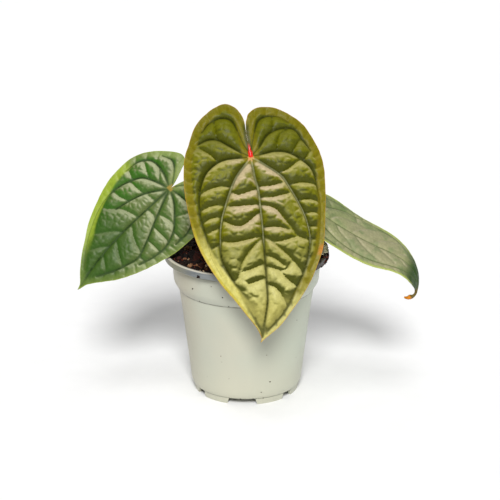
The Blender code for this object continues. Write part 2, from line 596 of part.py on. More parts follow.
def make_petiole(name, petiole, collection):
    """A leaf stalk: upright out of the soil, then curving out to meet the back of its blade."""
    foot = petiole_foot(petiole)
    leaf = petiole["leaf"]
    seat = np.array([[0.0, 1.5]])
    surface = bend_leaf(leaf, seat, np.array([0.0]))[0]
    above = bend_leaf(leaf, seat, np.array([1.0]))[0]
    normal = Vector(above - surface).normalized()
    rise = Vector((0.0, 0.0, 1.0))
    arrive = (normal * 0.75 + rise * 0.45).normalized()
    end = Vector(surface) - normal * (BLADE_THICKNESS + GAP + 0.0011)
    before = end - arrive * petiole["arrive"] * MM
    route = [foot, foot + rise * 0.008, foot + rise * 0.016]
    route += [Vector(p) * MM for p in petiole["through"]] + [before, end]
    line = smooth_line([tuple(p) for p in route], 0.0055)
    curve = bpy.data.curves.new(name, "CURVE")
    curve.dimensions = "3D"
    curve.bevel_depth = PETIOLE_RADIUS
    curve.bevel_resolution = 2
    curve.use_fill_caps = True
    spline = curve.splines.new("POLY")
    spline.points.add(len(line) - 1)
    for i, p in enumerate(line):
        spline.points[i].co = (*p, 1.0)
        left_over = 0.0055 * (len(line) - 1 - i)
        swell = math.exp(-((left_over - 0.45 * GENICULUM_LENGTH) / (0.45 * GENICULUM_LENGTH)) ** 2)
        spline.points[i].radius = 1.0 + (GENICULUM_SWELL - 1.0) * swell
    obj = add_object(name, curve, collection)
    give_material(obj)
    return obj


def make_clump(collection):
    """A gritty clump of moss and old mix that sits on the soil and leans over the rim."""
    bm = bmesh.new()
    bmesh.ops.create_icosphere(bm, subdivisions=3, radius=1.0)
    wall = inner_radius(POT_HEIGHT - LIP_HEIGHT) - 3.0 * GAP
    for vert in bm.verts:
        rough = 1.0 + 0.16 * noise.noise(vert.co * 2.4) + 0.08 * noise.noise(vert.co * 6.0)
        point = vert.co * Vector(CLUMP_SIZE) * rough + Vector(CLUMP_CENTRE)
        point.z = max(point.z, SOIL_EDGE_Z + SOIL_CLEARANCE)
        reach = math.hypot(point.x, point.y)
        limit = min(wall, inner_radius(point.z) - 3.0 * GAP)
        if point.z < POT_HEIGHT + 4.0 * GAP and reach > limit:
            point.x *= limit / reach
            point.y *= limit / reach
        vert.co = point
    obj = add_object("moss_clump", mesh_from_bmesh("moss_clump", bm), collection)
    give_material(obj)
    return obj


def build():
    clear_scene()
    parts = new_collection("potted anthurium")
    cutters = new_collection("cutters")
    make_pot(parts, cutters)
    make_soil(parts, cutters)
    make_stem(parts)
    for leaf in (FRONT_LEAF, LEFT_LEAF, RIGHT_LEAF):
        make_leaf(leaf, parts)
    for name, petiole in PETIOLES.items():
        make_petiole(name, petiole, parts)
    make_clump(parts)
    for obj in parts.objects:
        if obj.type == "MESH" and not obj.name.startswith("leaf"):
            obj.data.shade_smooth()
            obj.data.set_sharp_from_angle(angle=math.radians(35.0))


build()
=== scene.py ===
# The looks of the potted anthurium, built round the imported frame.
# Units are metres, +Z is up and -Y faces the viewer. Leaf outlines and veins are in millimetres on
# the flat leaf, u across it and v from the stalk towards the tip, as they are in the part's source.
import math
import random

import bmesh
import bpy
import numpy as np
from mathutils import Matrix, Vector, geometry, noise


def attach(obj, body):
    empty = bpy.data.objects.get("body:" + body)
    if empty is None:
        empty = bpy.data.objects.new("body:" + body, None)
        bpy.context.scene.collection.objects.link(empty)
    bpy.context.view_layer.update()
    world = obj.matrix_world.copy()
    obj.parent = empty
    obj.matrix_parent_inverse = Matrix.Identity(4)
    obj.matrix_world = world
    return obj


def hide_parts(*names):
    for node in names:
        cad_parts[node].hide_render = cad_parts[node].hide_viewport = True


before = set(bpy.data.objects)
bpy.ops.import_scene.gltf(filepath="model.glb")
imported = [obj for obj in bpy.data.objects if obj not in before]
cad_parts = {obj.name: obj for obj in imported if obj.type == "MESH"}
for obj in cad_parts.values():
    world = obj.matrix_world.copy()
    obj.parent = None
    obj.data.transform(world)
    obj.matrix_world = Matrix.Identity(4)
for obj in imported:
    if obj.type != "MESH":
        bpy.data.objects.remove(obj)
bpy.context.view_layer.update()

MM = 0.001
FOOT_DROP = 0.0012
POT_AXIS = Vector((-0.0034, 0.0120, FOOT_DROP))
BODY = "root"

# The camera, from the pot's axis, in a picture 500 pixels wide
CAMERA_OFFSET = Vector((0.0027, -0.9300, 0.4086))
CAMERA_TILT = 0.3153
FOCAL_PIXELS = 1331.0
PICTURE_WIDTH = 500.0
SENSOR_WIDTH = 36.0

# Pot, as in the part's source
RIM_RADIUS = 0.060
LIP_HEIGHT = 0.0048
LIP_WIDTH = 0.0024
POT_HEIGHT = 0.1054
WALL = 0.0013
COLLAR_TOP_RADIUS = 0.0545
COLLAR_FOOT_RADIUS = 0.0535
COLLAR_CORNER_Z = 0.0832
COLLAR_FOOT_Z = 0.0784
BODY_TOP_RADIUS = 0.0496
BODY_FOOT_RADIUS = 0.0418
CORNER_WIDTH = 0.0026
CORNER_RISE = 0.0085
FOOT_HEIGHT = 0.0035
FOOT_RADIUS = 0.0392
FOOT_WALL = 0.0022
FLOOR_THICKNESS = 0.0014
FOOT_GAPS = [(-94.5, 0.0205), (-148.0, 0.0085), (-40.0, 0.0085), (85.5, 0.0205), (139.0, 0.0085),
             (32.0, 0.0085)]
DRAIN_RADIUS = 0.0030
DRAIN_CIRCLE = 0.0240

# Soil, stem and stalks, as in the part's source
SOIL_EDGE_Z = 0.1036
SOIL_CROWN = 0.0030
SOIL_ROUGHNESS = 0.0011
SOIL_CLEARANCE = 0.0005
CHIP_COUNT = 15
STEM_RADIUS = 0.0062
STEM_FOOT_Z = 0.0820
STEM_TOP_Z = 0.1195
GAP = 0.0003
PETIOLE_RADIUS = 0.0019
PETIOLE_FOOT_Z = 0.0925
GENICULUM_LENGTH = 0.0150
GENICULUM_SWELL = 1.35
CLUMP_CENTRE = (0.0505, -0.0080, 0.1085)
CLUMP_BED = (0.012, 0.017)
CLUMP_SIZE = (0.0085, 0.0090, 0.0105)

# How fine the turned pieces, the stalks and the fibres are
POT_STEPS = 192
SOIL_RINGS = 60
SOIL_SIDES = 168
STEM_STEPS = 64
STALK_SIDES = 24
FIBRE_SIDES = 5

# The leaves' quilting: the pitch of the grid that it is worked out on and how far a vein reaches, both in
# millimetres, and the rounds that let it puff up
GRID = 0.5
LINE_REACH = 14.0
SWELL_ROUNDS = 260

# The blade's thickness, and how far its ribs stand out below it
BLADE = 0.00075
RIB_BELOW = 0.00060

# How many loose pieces lie on the soil, the lip and the clump
CRUMB_COUNT = 1500
FIBRE_COUNT = 170
LIP_GRIT_COUNT = 260
MOSS_GRIT_COUNT = 620

# Leaves. All but "fine" is as in the part's source, save that the front leaf's notch is closer, all the
# quilting is deeper, and the right leaf's dry tip is fuller. "fine" gives the mesh's spacing, the height and
# size of the small lumps and grains, the veins' height and width, and where a tip swells, how far from
# there, and by how many metres.
FRONT_LEAF = {
    "name": "leaf_front",
    "attach": (3.3, -30.0, 183.2), "heading": -86.0, "dip": 54.0, "droop": 0.170,
    "hook": 0.0, "hook_from": 0.0, "curl": 0.0, "curl_from": 0.0, "roll": 0.0, "arch": 0.0055,
    "relief": 4.8, "relief_width": 4.2, "cross_depth": 0.62, "edge_fade": 6.0, "wave": 0.5,
    "left": [(-0.35, -3), (-1.0, -8), (-2.1, -14), (-2.7, -20), (-3.6, -27), (-6, -33), (-10, -38),
             (-16, -41), (-23, -39), (-30, -34), (-36, -28), (-40, -21), (-43, -12), (-46, -3), (-47, 7),
             (-47, 19), (-46, 30), (-44, 42), (-41, 55), (-36, 68), (-30, 79), (-23, 90), (-14, 101),
             (-7, 110), (0, 119), (3.4, 126)],
    "tip": (3, 130),
    "right": [(-0.22, -3), (-0.9, -8), (-2.0, -14), (-2.58, -20), (-2.2, -27), (0, -33), (5, -37),
              (12, -38), (20, -37), (30, -32), (38, -26), (44, -17), (49, -6), (51.5, 6), (52, 18),
              (52, 30), (51, 43), (50, 54), (48, 66), (44, 77), (39, 88), (32, 99), (25, 108), (17, 118),
              (10, 124), (6, 127)],
    "main_veins": [
        [(0, 0), (2, 16), (4, 24), (5, 36), (6, 50), (7, 71), (8, 93), (8, 103), (6, 115), (4, 127)],
        [(0, 0), (-4, 6), (-10, 14), (-14, 22), (-19, 36), (-22, 47), (-23, 60), (-22, 74), (-15, 88),
         (-9, 100), (-2, 112), (3, 121)],
        [(0, 0), (10, 7), (20, 14), (25, 21), (34, 38), (38, 50), (39, 62), (35, 80), (29, 93), (20, 109),
         (8, 122)],
        [(0, 0), (-9, 1), (-18, 2), (-25, 5), (-32, 12), (-36, 23), (-37, 34), (-36, 45), (-33, 56),
         (-29, 72), (-23, 84)],
        [(0, 0), (9, -2), (18, -4), (27, -3), (36, 2), (43, 9), (46, 20), (48, 34), (47, 50), (44, 68),
         (38, 82)],
        [(0, 0), (-8, -4), (-16, -9), (-22, -13), (-29, -14), (-37, -11)],
        [(-1, -3), (-5, -10), (-9, -21), (-13, -28), (-20, -30), (-28, -27), (-34, -20)],
        [(0, 0), (6, -7), (11, -15), (16, -19), (24, -22), (32, -21), (37, -14), (43, -6)],
        [(0, -3), (2, -13), (4, -22), (7, -28), (13, -31), (21, -31), (28, -27)],
    ],
    "cross_veins": [
        [(-36, -8), (-32, -5), (-28, -2), (-24, 2)], [(-25, -29), (-24, -22), (-23, -14)],
        [(16, -31), (16, -20)], [(27, -22), (20, -14), (18, -4)], [(36, -15), (29, -3)], [(43, -6), (37, 2)],
        [(19, 12), (26, 9), (34, 2)], [(25, 21), (35, 19), (46, 20)], [(31, 32), (38, 31), (47, 32)],
        [(36, 41), (42, 40), (47, 41)], [(39, 50), (47, 50)], [(39, 59), (46, 59)], [(37, 72), (43, 71)],
        [(-14, 22), (-25, 22), (-36, 26)], [(-19, 35), (-27, 35), (-36, 38)],
        [(-22, 43), (-29, 44), (-35, 47)],
        [(-22, 50), (-31, 54)], [(-23, 62), (-31, 66)], [(-21, 77), (-26, 80)],
        [(3, 24), (-9, 28), (-14, 26)], [(5, 35), (-9, 36), (-16, 36)], [(5, 40), (-9, 50), (-22, 45)],
        [(6, 58), (-2, 66), (-8, 75), (-11, 85), (-15, 88)], [(6, 57), (-13, 61), (-22, 60)],
        [(7, 76), (-3, 80), (-9, 82)], [(7, 86), (-4, 90)],
        [(4, 22), (12, 22), (20, 20)], [(5, 30), (14, 30), (25, 27)],
        [(5, 35), (15, 38), (21, 45), (25, 50), (30, 57), (39, 60)], [(7, 51), (17, 51), (24, 53)],
        [(6, 57), (15, 61), (29, 58)], [(6, 57), (13, 62), (20, 68), (26, 74), (33, 83)],
        [(26, 74), (20, 81), (8, 78)], [(8, 90), (14, 93), (19, 100), (22, 106)],
        [(17, 82), (23, 88), (29, 92)], [(7, 70), (14, 73), (20, 78)],
    ],
    "fine": {"spacing": 0.78, "lump": 0.50, "lump_size": 5.5, "grain": 0.05, "grain_size": 1.7,
             "rib": 0.04, "rib_width": 0.75, "slot": "young_leaf"},
}

LEFT_LEAF = {
    "name": "leaf_left",
    "attach": (-55.2, 0.0, 152.1), "heading": -159.0, "dip": 38.0, "droop": 0.110,
    "hook": 0.0, "hook_from": 0.0, "curl": 0.0, "curl_from": 0.0, "roll": -50.0, "arch": 0.0045,
    "relief": 3.1, "relief_width": 3.4, "cross_depth": 0.60, "edge_fade": 5.0, "wave": 0.7,
    "left": [(-0.8, -4), (-2.4, -9), (-5, -15), (-8, -21), (-13, -23), (-19, -20), (-25, -15), (-30, -10),
             (-35, -3), (-38, 6), (-38, 17), (-37, 28), (-34, 39), (-30, 49), (-25, 59), (-19, 68),
             (-13, 78), (-6, 88), (-1, 94)],
    "tip": (1, 99),
    "right": [(0.8, -4), (2.4, -10), (5, -16), (9, -22), (15, -24), (22, -21), (29, -14), (35, -4), (38, 7),
              (38, 18), (37, 30), (34, 42), (30, 54), (25, 65), (19, 75), (11, 84), (4, 92)],
    "main_veins": [
        [(0, 0), (0, 20), (-1, 47), (-1, 67), (0, 86), (1, 96)],
        [(0, 0), (-8, 3), (-15, 6), (-21, 10), (-26, 20), (-29, 33), (-27, 46), (-21, 60), (-14, 72),
         (-5, 85)],
        [(0, 0), (-5, 8), (-10, 16), (-14, 27), (-17, 38)],
        [(0, 0), (-11, -4), (-20, -5), (-27, -3), (-32, 4), (-33, 14)],
        [(-0.5, -2), (-5, -8), (-10, -13), (-16, -15), (-23, -12)],
        [(0, 0), (6, 14), (11, 26), (16, 38), (20, 52), (17, 63), (13, 72), (6, 83)],
        [(0, 0), (10, 5), (18, 12), (25, 20), (29, 32), (28, 44), (24, 56)],
        [(0, 0), (11, -2), (21, -2), (29, 4), (33, 14), (33, 26)],
        [(0.5, -2), (5, -9), (11, -15), (18, -16), (26, -9)],
    ],
    "cross_veins": [
        [(0, 31), (-8, 33), (-16, 36)], [(-1, 46), (-8, 52), (-14, 59), (-19, 63)],
        [(-1, 60), (-8, 68), (-12, 74)],
        [(0, 38), (8, 44), (18, 48)], [(0, 54), (8, 60), (16, 65)], [(0, 68), (6, 73), (10, 77)],
        [(-10, 16), (-18, 17), (-25, 17)], [(-14, 27), (-22, 30), (-29, 30)], [(-17, 38), (-23, 43)],
        [(-8, 3), (-14, -2), (-16, -5)], [(-15, 6), (-23, 3), (-29, 0)], [(-24, 15), (-32, 12)],
        [(-29, 33), (-36, 31)], [(-28, 44), (-33, 42)], [(8, 19), (15, 17), (22, 16)],
        [(12, 28), (20, 28), (28, 28)],
        [(16, 38), (22, 38), (29, 38)], [(20, 51), (26, 51)], [(18, 12), (22, 5), (24, 0)],
        [(25, 20), (33, 20)], [(29, 34), (35, 35)], [(0, 14), (-7, 15)], [(0, 22), (5, 22), (10, 23)],
    ],
    "fine": {"spacing": 0.74, "lump": 0.38, "lump_size": 4.4, "grain": 0.05, "grain_size": 1.4,
             "rib": 0.04, "rib_width": 0.70, "slot": "mature_leaf"},
}

RIGHT_LEAF = {
    "name": "leaf_right",
    "attach": (50.0, 0.0, 135.4), "heading": -4.0, "dip": 34.0, "droop": -0.185,
    "hook": 0.0320, "hook_from": 50.0, "curl": 0.45, "curl_from": 99.5, "roll": 13.0, "arch": 0.0030,
    "relief": 2.1, "relief_width": 3.2, "cross_depth": 0.55, "edge_fade": 4.5, "wave": 0.9,
    "left": [(-0.8, -4), (-3, -10), (-6, -16), (-11, -20), (-17, -19), (-23, -13), (-27, -5), (-29, 6),
             (-30, 18), (-30, 30), (-29, 42), (-28, 54), (-25, 66), (-21, 78), (-16, 88), (-9, 96),
             (-4, 100), (-1.5, 103), (-1.4, 105.5), (-2.6, 108.5), (-2.4, 111.5)],
    "tip": (0, 113.4),
    "right": [(0.8, -4), (3, -10), (6, -16), (12, -20), (19, -18), (26, -11), (31, -2), (34, 9), (35, 20),
              (34, 32), (31, 44), (27, 56), (23, 68), (19, 79), (15, 88), (9, 96), (4, 100), (1.5, 103),
              (1.4, 105.5), (2.6, 108.5), (2.4, 111.5)],
    "main_veins": [
        [(0, 0), (-1, 20), (-2, 40), (-2, 60), (-1, 80), (0, 100)],
        [(0, 0), (-8, 4), (-15, 12), (-21, 24), (-23, 38), (-22, 54), (-18, 68), (-12, 81), (-4, 93)],
        [(0, 0), (10, 4), (18, 12), (25, 24), (26, 38), (24, 54), (19, 69), (12, 82), (4, 93)],
        [(0, 0), (-10, -2), (-19, 1), (-25, 10), (-27, 22)],
        [(0, 0), (11, -2), (22, 1), (29, 10), (31, 22)],
        [(-0.5, -2), (-5, -9), (-12, -13), (-20, -9)],
        [(0.5, -2), (6, -9), (13, -13), (22, -8)],
    ],
    "cross_veins": [
        [(-1, 18), (-9, 22), (-15, 30), (-22, 36)], [(-2, 34), (-10, 40), (-17, 50), (-20, 58)],
        [(-2, 52), (-8, 58), (-14, 68)], [(-2, 68), (-8, 76)], [(-1, 12), (8, 16), (14, 26), (16, 40)],
        [(-2, 30), (8, 36), (18, 46), (22, 58)], [(-2, 48), (7, 54), (15, 66)], [(-1, 66), (6, 74)],
        [(16, 34), (25, 32)], [(-15, 30), (-21, 25)], [(18, 12), (25, 8)], [(-15, 12), (-22, 8)],
    ],
    "fine": {"spacing": 0.74, "lump": 0.16, "lump_size": 3.2, "grain": 0.06, "grain_size": 1.3,
             "rib": 0.05, "rib_width": 0.70, "swollen": (109.3, 2.8, 0.0022),
             "slot": "pale_leaf"},
}

PETIOLES = {
    "petiole_front": {"leaf": FRONT_LEAF, "side": -90.0,
                      "through": [(0.5, -10, 118), (1.5, -10, 145), (2.8, -16, 167)], "arrive": 9.0},
    "petiole_left": {"leaf": LEFT_LEAF, "side": 160.0,
                     "through": [(-14, 5, 116), (-28, 9, 134), (-44, 12, 144)], "arrive": 8.0},
    "petiole_right": {"leaf": RIGHT_LEAF, "side": 25.0,
                      "through": [(13, 5, 115), (26, 7, 121), (39, 6, 126)], "arrive": 6.0},
}

# Crumbs stuck to the pot: turn about its axis in degrees, height and size in millimetres, and tint
STUCK = [(-124, 101.7, 1.3, 0.25), (-135, 88.6, 0.55, 0.20), (-108, 86.7, 0.50, 0.25),
         (-117, 93.9, 0.36, 0.55), (-131, 79.4, 0.34, 0.55), (-104, 79.4, 0.45, 0.20),
         (-114, 38.1, 0.34, 0.60), (-71, 39.6, 0.32, 0.60), (-66, 17.1, 0.50, 0.55),
         (-75, 9.4, 0.42, 0.50), (-107, 20.3, 0.30, 0.60), (-40, 62.0, 0.30, 0.30),
         (-96, 3.9, 0.50, 0.20), (-83, 3.9, 0.48, 0.20), (-72, 3.9, 0.46, 0.30)]

# Pale crumbs on the soil: place in millimetres from the pot's axis, size and tint
PALE_CRUMBS = [(-43.5, 5.0, 2.2, 0.90), (-41.0, 3.0, 1.2, 0.93), (-38.6, -13.8, 0.8, 0.97),
               (-34.6, -13.4, 0.6, 0.97), (-41.9, -21.8, 0.6, 0.96), (-40.7, -31.9, 0.8, 0.97),
               (-35.1, -34.1, 1.3, 0.88), (-28.4, -40.7, 1.2, 0.92), (-26.7, -38.5, 1.1, 0.90),
               (-30.0, -45.1, 0.9, 0.97), (-32.5, -43.0, 0.6, 0.99), (-24.0, -46.0, 0.9, 0.90)]


# Curves and distances on the flat leaf

def smooth_line(points, spacing):
    """Points at an even spacing along a smooth curve through the given points, ends kept."""
    pts = np.array(points, float)
    padded = np.vstack([2 * pts[0] - pts[1], pts, 2 * pts[-1] - pts[-2]])
    fine = []
    for i in range(1, len(padded) - 2):
        a, b, c, d = padded[i - 1:i + 3]
        for t in np.linspace(0.0, 1.0, 12, endpoint=False):
            fine.append(0.5 * (2 * b + (c - a) * t + (2 * a - 5 * b + 4 * c - d) * t * t
                               + (3 * b - a - 3 * c + d) * t ** 3))
    fine.append(pts[-1])
    fine = np.array(fine)
    run = np.concatenate([[0.0], np.cumsum(np.linalg.norm(np.diff(fine, axis=0), axis=1))])
    count = max(2, int(round(run[-1] / spacing)) + 1)
    at = np.linspace(0.0, run[-1], count)
    return np.stack([np.interp(at, run, fine[:, k]) for k in range(fine.shape[1])], -1)


def distance_to_lines(points, lines, reach=LINE_REACH):
    """Distance of each point to the nearest of the polylines, or reach where none is nearer."""
    best = np.full(len(points), reach)
    for line in lines:
        low, high = line.min(axis=0) - reach, line.max(axis=0) + reach
        near = np.flatnonzero(((points > low) & (points < high)).all(axis=1))
        local, gap = points[near], best[near]
        for a, b in zip(line[:-1], line[1:]):
            ab = b - a
            t = np.clip(((local - a) @ ab) / max(ab @ ab, 1e-12), 0.0, 1.0)
            away = local - (a + t[:, None] * ab)
            gap = np.minimum(gap, np.hypot(away[:, 0], away[:, 1]))
        best[near] = gap
    return best


def leaf_outline(leaf, spacing):
    """The closed outline from the notch round the left side, the tip and the right side."""
    left = smooth_line([(0, 0)] + leaf["left"] + [leaf["tip"]], spacing)
    right = smooth_line([(0, 0)] + leaf["right"] + [leaf["tip"]], spacing)
    return np.vstack([left, right[-2:0:-1]])


def pleats(outline):
    """Short folds that run in from the margin, at an even pitch, in the band outside the veins."""
    folds = []
    centre = np.array([0.0, 35.0])
    pitch, first = 3, 9
    margin, depth = 1.5, 6.0
    for i in range(first, len(outline) - first, pitch):
        inward = centre - outline[i]
        inward /= np.linalg.norm(inward)
        folds.append(np.array([outline[i] + inward * margin, outline[i] + inward * depth]))
    return folds


def inside(points, outline):
    """Which points lie inside the closed outline."""
    x, y = points[:, 0], points[:, 1]
    result = np.zeros(len(points), bool)
    for (x0, y0), (x1, y1) in zip(outline, np.roll(outline, -1, axis=0)):
        spans = (y0 > y) != (y1 > y)
        if y0 != y1:
            result ^= spans & (x < (x1 - x0) * (y - y0) / (y1 - y0) + x0)
    return result


# The bent leaf

def leaf_path(leaf):
    """The midrib's run in its upright plane: distance out, height and slope for each v."""
    v = np.arange(-60.0, 140.0, 1.0)
    hook = leaf["hook"] * np.maximum(v - leaf["hook_from"], 0.0) ** 2
    curl = leaf["curl"] * np.maximum(v - leaf["curl_from"], 0.0) ** 2
    slope = np.radians(leaf["dip"] + leaf["droop"] * v + hook + curl)
    out = np.concatenate([[0.0], np.cumsum(np.cos(slope))[:-1]])
    drop = np.concatenate([[0.0], np.cumsum(np.sin(slope))[:-1]])
    at_zero = int(np.argmin(np.abs(v)))
    return v, out - out[at_zero], drop - drop[at_zero], slope


def bend_leaf(leaf, points, height):
    """Positions in metres, from the pot's axis, of points of the flat leaf raised by height."""
    v, out, drop, slope = leaf_path(leaf)
    heading, roll = math.radians(leaf["heading"]), math.radians(leaf["roll"])
    ahead = np.array([math.cos(heading), math.sin(heading), 0.0])
    up = np.array([0.0, 0.0, 1.0])
    s = np.interp(points[:, 1], v, out)[:, None]
    z = np.interp(points[:, 1], v, drop)[:, None]
    dip = np.interp(points[:, 1], v, slope)[:, None]
    middle = np.array(leaf["attach"]) + ahead * s - up * z
    along = ahead * np.cos(dip) - up * np.sin(dip)
    normal = ahead * np.sin(dip) + up * np.cos(dip)
    across = np.cross(normal, along)
    side = across * math.cos(roll) + normal * math.sin(roll)
    face = normal * math.cos(roll) - across * math.sin(roll)
    arch = leaf["arch"]
    radius = 1.0 / arch + height[:, None]
    turn = (arch * points[:, 0])[:, None]
    return (middle + side * radius * np.sin(turn) + face * (radius * np.cos(turn) - 1.0 / arch)) * MM


# The quilted surface

def swell(distance, reach):
    """Height, 0 to 1, of a sheet that is held down on lines and puffs up smoothly between them."""
    held = distance < 0.75 * GRID
    fixed = (distance / reach)[held]
    pull = (GRID / reach) ** 2
    height = 1.0 - np.exp(-distance / reach)
    for _ in range(SWELL_ROUNDS):
        wide = np.pad(height, 1, mode="edge")
        around = wide[:-2, 1:-1] + wide[2:, 1:-1] + wide[1:-1, :-2] + wide[1:-1, 2:]
        height = (around + pull) / (4.0 + pull)
        height[held] = fixed
    return height


def sample(field, low, points):
    """The grid's values at the points, taken between its four nearest cells."""
    at = (points - low) / GRID
    cell = np.floor(at).astype(int)
    i = np.clip(cell[:, 0], 0, field.shape[1] - 2)
    j = np.clip(cell[:, 1], 0, field.shape[0] - 2)
    fx, fy = at[:, 0] - i, at[:, 1] - j
    lower = field[j, i] * (1.0 - fx) + field[j, i + 1] * fx
    upper = field[j + 1, i] * (1.0 - fx) + field[j + 1, i + 1] * fx
    return lower * (1.0 - fy) + upper * fy


def net_of_cells(points, size):
    """0 on a fine irregular net and 1 inside its meshes."""
    value = np.empty(len(points))
    for i, (u, v) in enumerate(points):
        nearest = noise.voronoi(Vector((u / size, v / size, 0.5)))[0]
        value[i] = min(1.0, (nearest[1] - nearest[0]) / 0.45)
    return value * value * (3.0 - 2.0 * value)


def fine_relief(leaf, points):
    """Height in millimetres of each point, and the fields that the paints read."""
    fine = leaf["fine"]
    spacing = 1.5
    outline = leaf_outline(leaf, spacing)
    closed = np.vstack([outline, outline[:1]])
    main = [smooth_line(line, spacing) for line in leaf["main_veins"]]
    cross = [smooth_line(line, spacing) for line in leaf["cross_veins"]]
    folds = pleats(leaf_outline(leaf, 2.0 * spacing))
    low = outline.min(axis=0) - 2.0
    high = outline.max(axis=0) + 2.0
    columns, rows = (int(n) + 1 for n in (high - low) / GRID)
    cells = np.stack(np.meshgrid(low[0] + GRID * np.arange(columns), low[1] + GRID * np.arange(rows)), -1)
    cells = cells.reshape(-1, 2)
    to_main = distance_to_lines(cells, main)
    to_any = np.minimum(to_main, distance_to_lines(cells, cross + folds))
    width = leaf["relief_width"]
    depth = leaf["cross_depth"]
    big = swell(to_main.reshape(rows, columns), 0.80 * width)
    small = swell(to_any.reshape(rows, columns), 0.50 * width)
    puff = sample((1.0 - depth) * big + depth * small, low, points)
    tight = sample(small, low, points)

    d_main = distance_to_lines(points, main)
    d_cross = distance_to_lines(points, cross)
    edge = distance_to_lines(points, [closed], 22.0)
    fade = 1.0 - np.exp(-(edge / leaf["edge_fade"]) ** 2)
    wave = leaf["wave"] * np.sin(points[:, 1] / 8.5 + 0.6 * np.sign(points[:, 0])) * np.exp(-edge / 6.0)
    lumps = net_of_cells(points, fine["lump_size"])
    grains = net_of_cells(points + 37.0, fine["grain_size"])
    from_base = np.hypot(points[:, 0], points[:, 1])
    taper = np.clip(1.15 - from_base / 130.0, 0.35, 1.0)
    rib = np.exp(-(d_main / (fine["rib_width"] * taper)) ** 2)
    pale = np.exp(-(distance_to_lines(points, main[:3]) / (1.3 * fine["rib_width"] * taper)) ** 2)
    branch = np.exp(-(d_cross / (0.6 * fine["rib_width"])) ** 2)
    height = leaf["relief"] * puff * (0.30 + 0.70 * fade) + wave
    height += fine["lump"] * lumps * tight * (0.3 + 0.7 * fade)
    height += fine["grain"] * grains * np.minimum(1.0, tight * 1.5)
    height += fine["rib"] * rib * taper
    rise = np.clip(puff, 0.0, 1.0)
    return height, {"rise": rise, "rib": rib * (0.4 + 0.6 * taper), "pale": pale, "branch": branch,
                    "edge": edge, "net": 1.0 - lumps}


def fine_points(leaf):
    """Outline points, vein points and a fine staggered grid, none too close together."""
    spacing = leaf["fine"]["spacing"]
    apart = 0.62 * spacing
    outline = leaf_outline(leaf, spacing)
    closed = np.vstack([outline, outline[:1]])
    veins = [smooth_line(line, spacing) for line in leaf["main_veins"] + leaf["cross_veins"]]
    on_veins = np.vstack(veins)
    on_veins = on_veins[inside(on_veins, outline)]
    on_veins = on_veins[distance_to_lines(on_veins, [closed]) > apart]
    kept, taken = [], {}
    for p in on_veins:
        key = (int(p[0] // apart), int(p[1] // apart))
        near = [q for dx in (-1, 0, 1) for dy in (-1, 0, 1)
                for q in taken.get((key[0] + dx, key[1] + dy), [])]
        if all((p[0] - q[0]) ** 2 + (p[1] - q[1]) ** 2 >= apart ** 2 for q in near):
            taken.setdefault(key, []).append(p)
            kept.append(p)
    low, high = outline.min(axis=0), outline.max(axis=0)
    pitch = spacing * math.sqrt(3.0) / 2.0
    j, i = np.mgrid[0:int((high[1] - low[1]) / pitch) + 1, 0:int((high[0] - low[0]) / spacing) + 1]
    grid = np.stack([low[0] + (i + 0.5 * (j % 2)) * spacing, low[1] + j * pitch], -1).reshape(-1, 2)
    grid = grid[inside(grid, outline)]
    grid = grid[np.minimum(distance_to_lines(grid, [closed]), distance_to_lines(grid, veins)) > apart]
    return np.vstack([outline, np.array(kept), grid]), len(outline)


def point_normals(places, triangles):
    """The unit normal at each point, from the faces round it, the larger ones counting more."""
    a, b, c = (places[triangles[:, k]] for k in range(3))
    face = np.cross(b - a, c - a)
    total = np.zeros_like(places)
    for k in range(3):
        np.add.at(total, triangles[:, k], face)
    return total / np.linalg.norm(total, axis=1, keepdims=True)


def add_field(mesh, name, values):
    """A number for each point of the mesh, for its paint to read."""
    mesh.attributes.new(name, "FLOAT", "POINT").data.foreach_set("value", np.asarray(values, np.float32))


def add_object(name, data):
    obj = bpy.data.objects.new(name, data)
    bpy.context.scene.collection.objects.link(obj)
    return obj


def add_piece(name, mesh, node, materials):
    """A piece that stands for a node of the frame, if one is given, and takes its finish from the given
    materials.
    """
    piece = add_object(name, mesh)
    piece.location = POT_AXIS
    for material in materials:
        mesh.materials.append(material)
    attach(piece, BODY)
    if node:
        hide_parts(node)


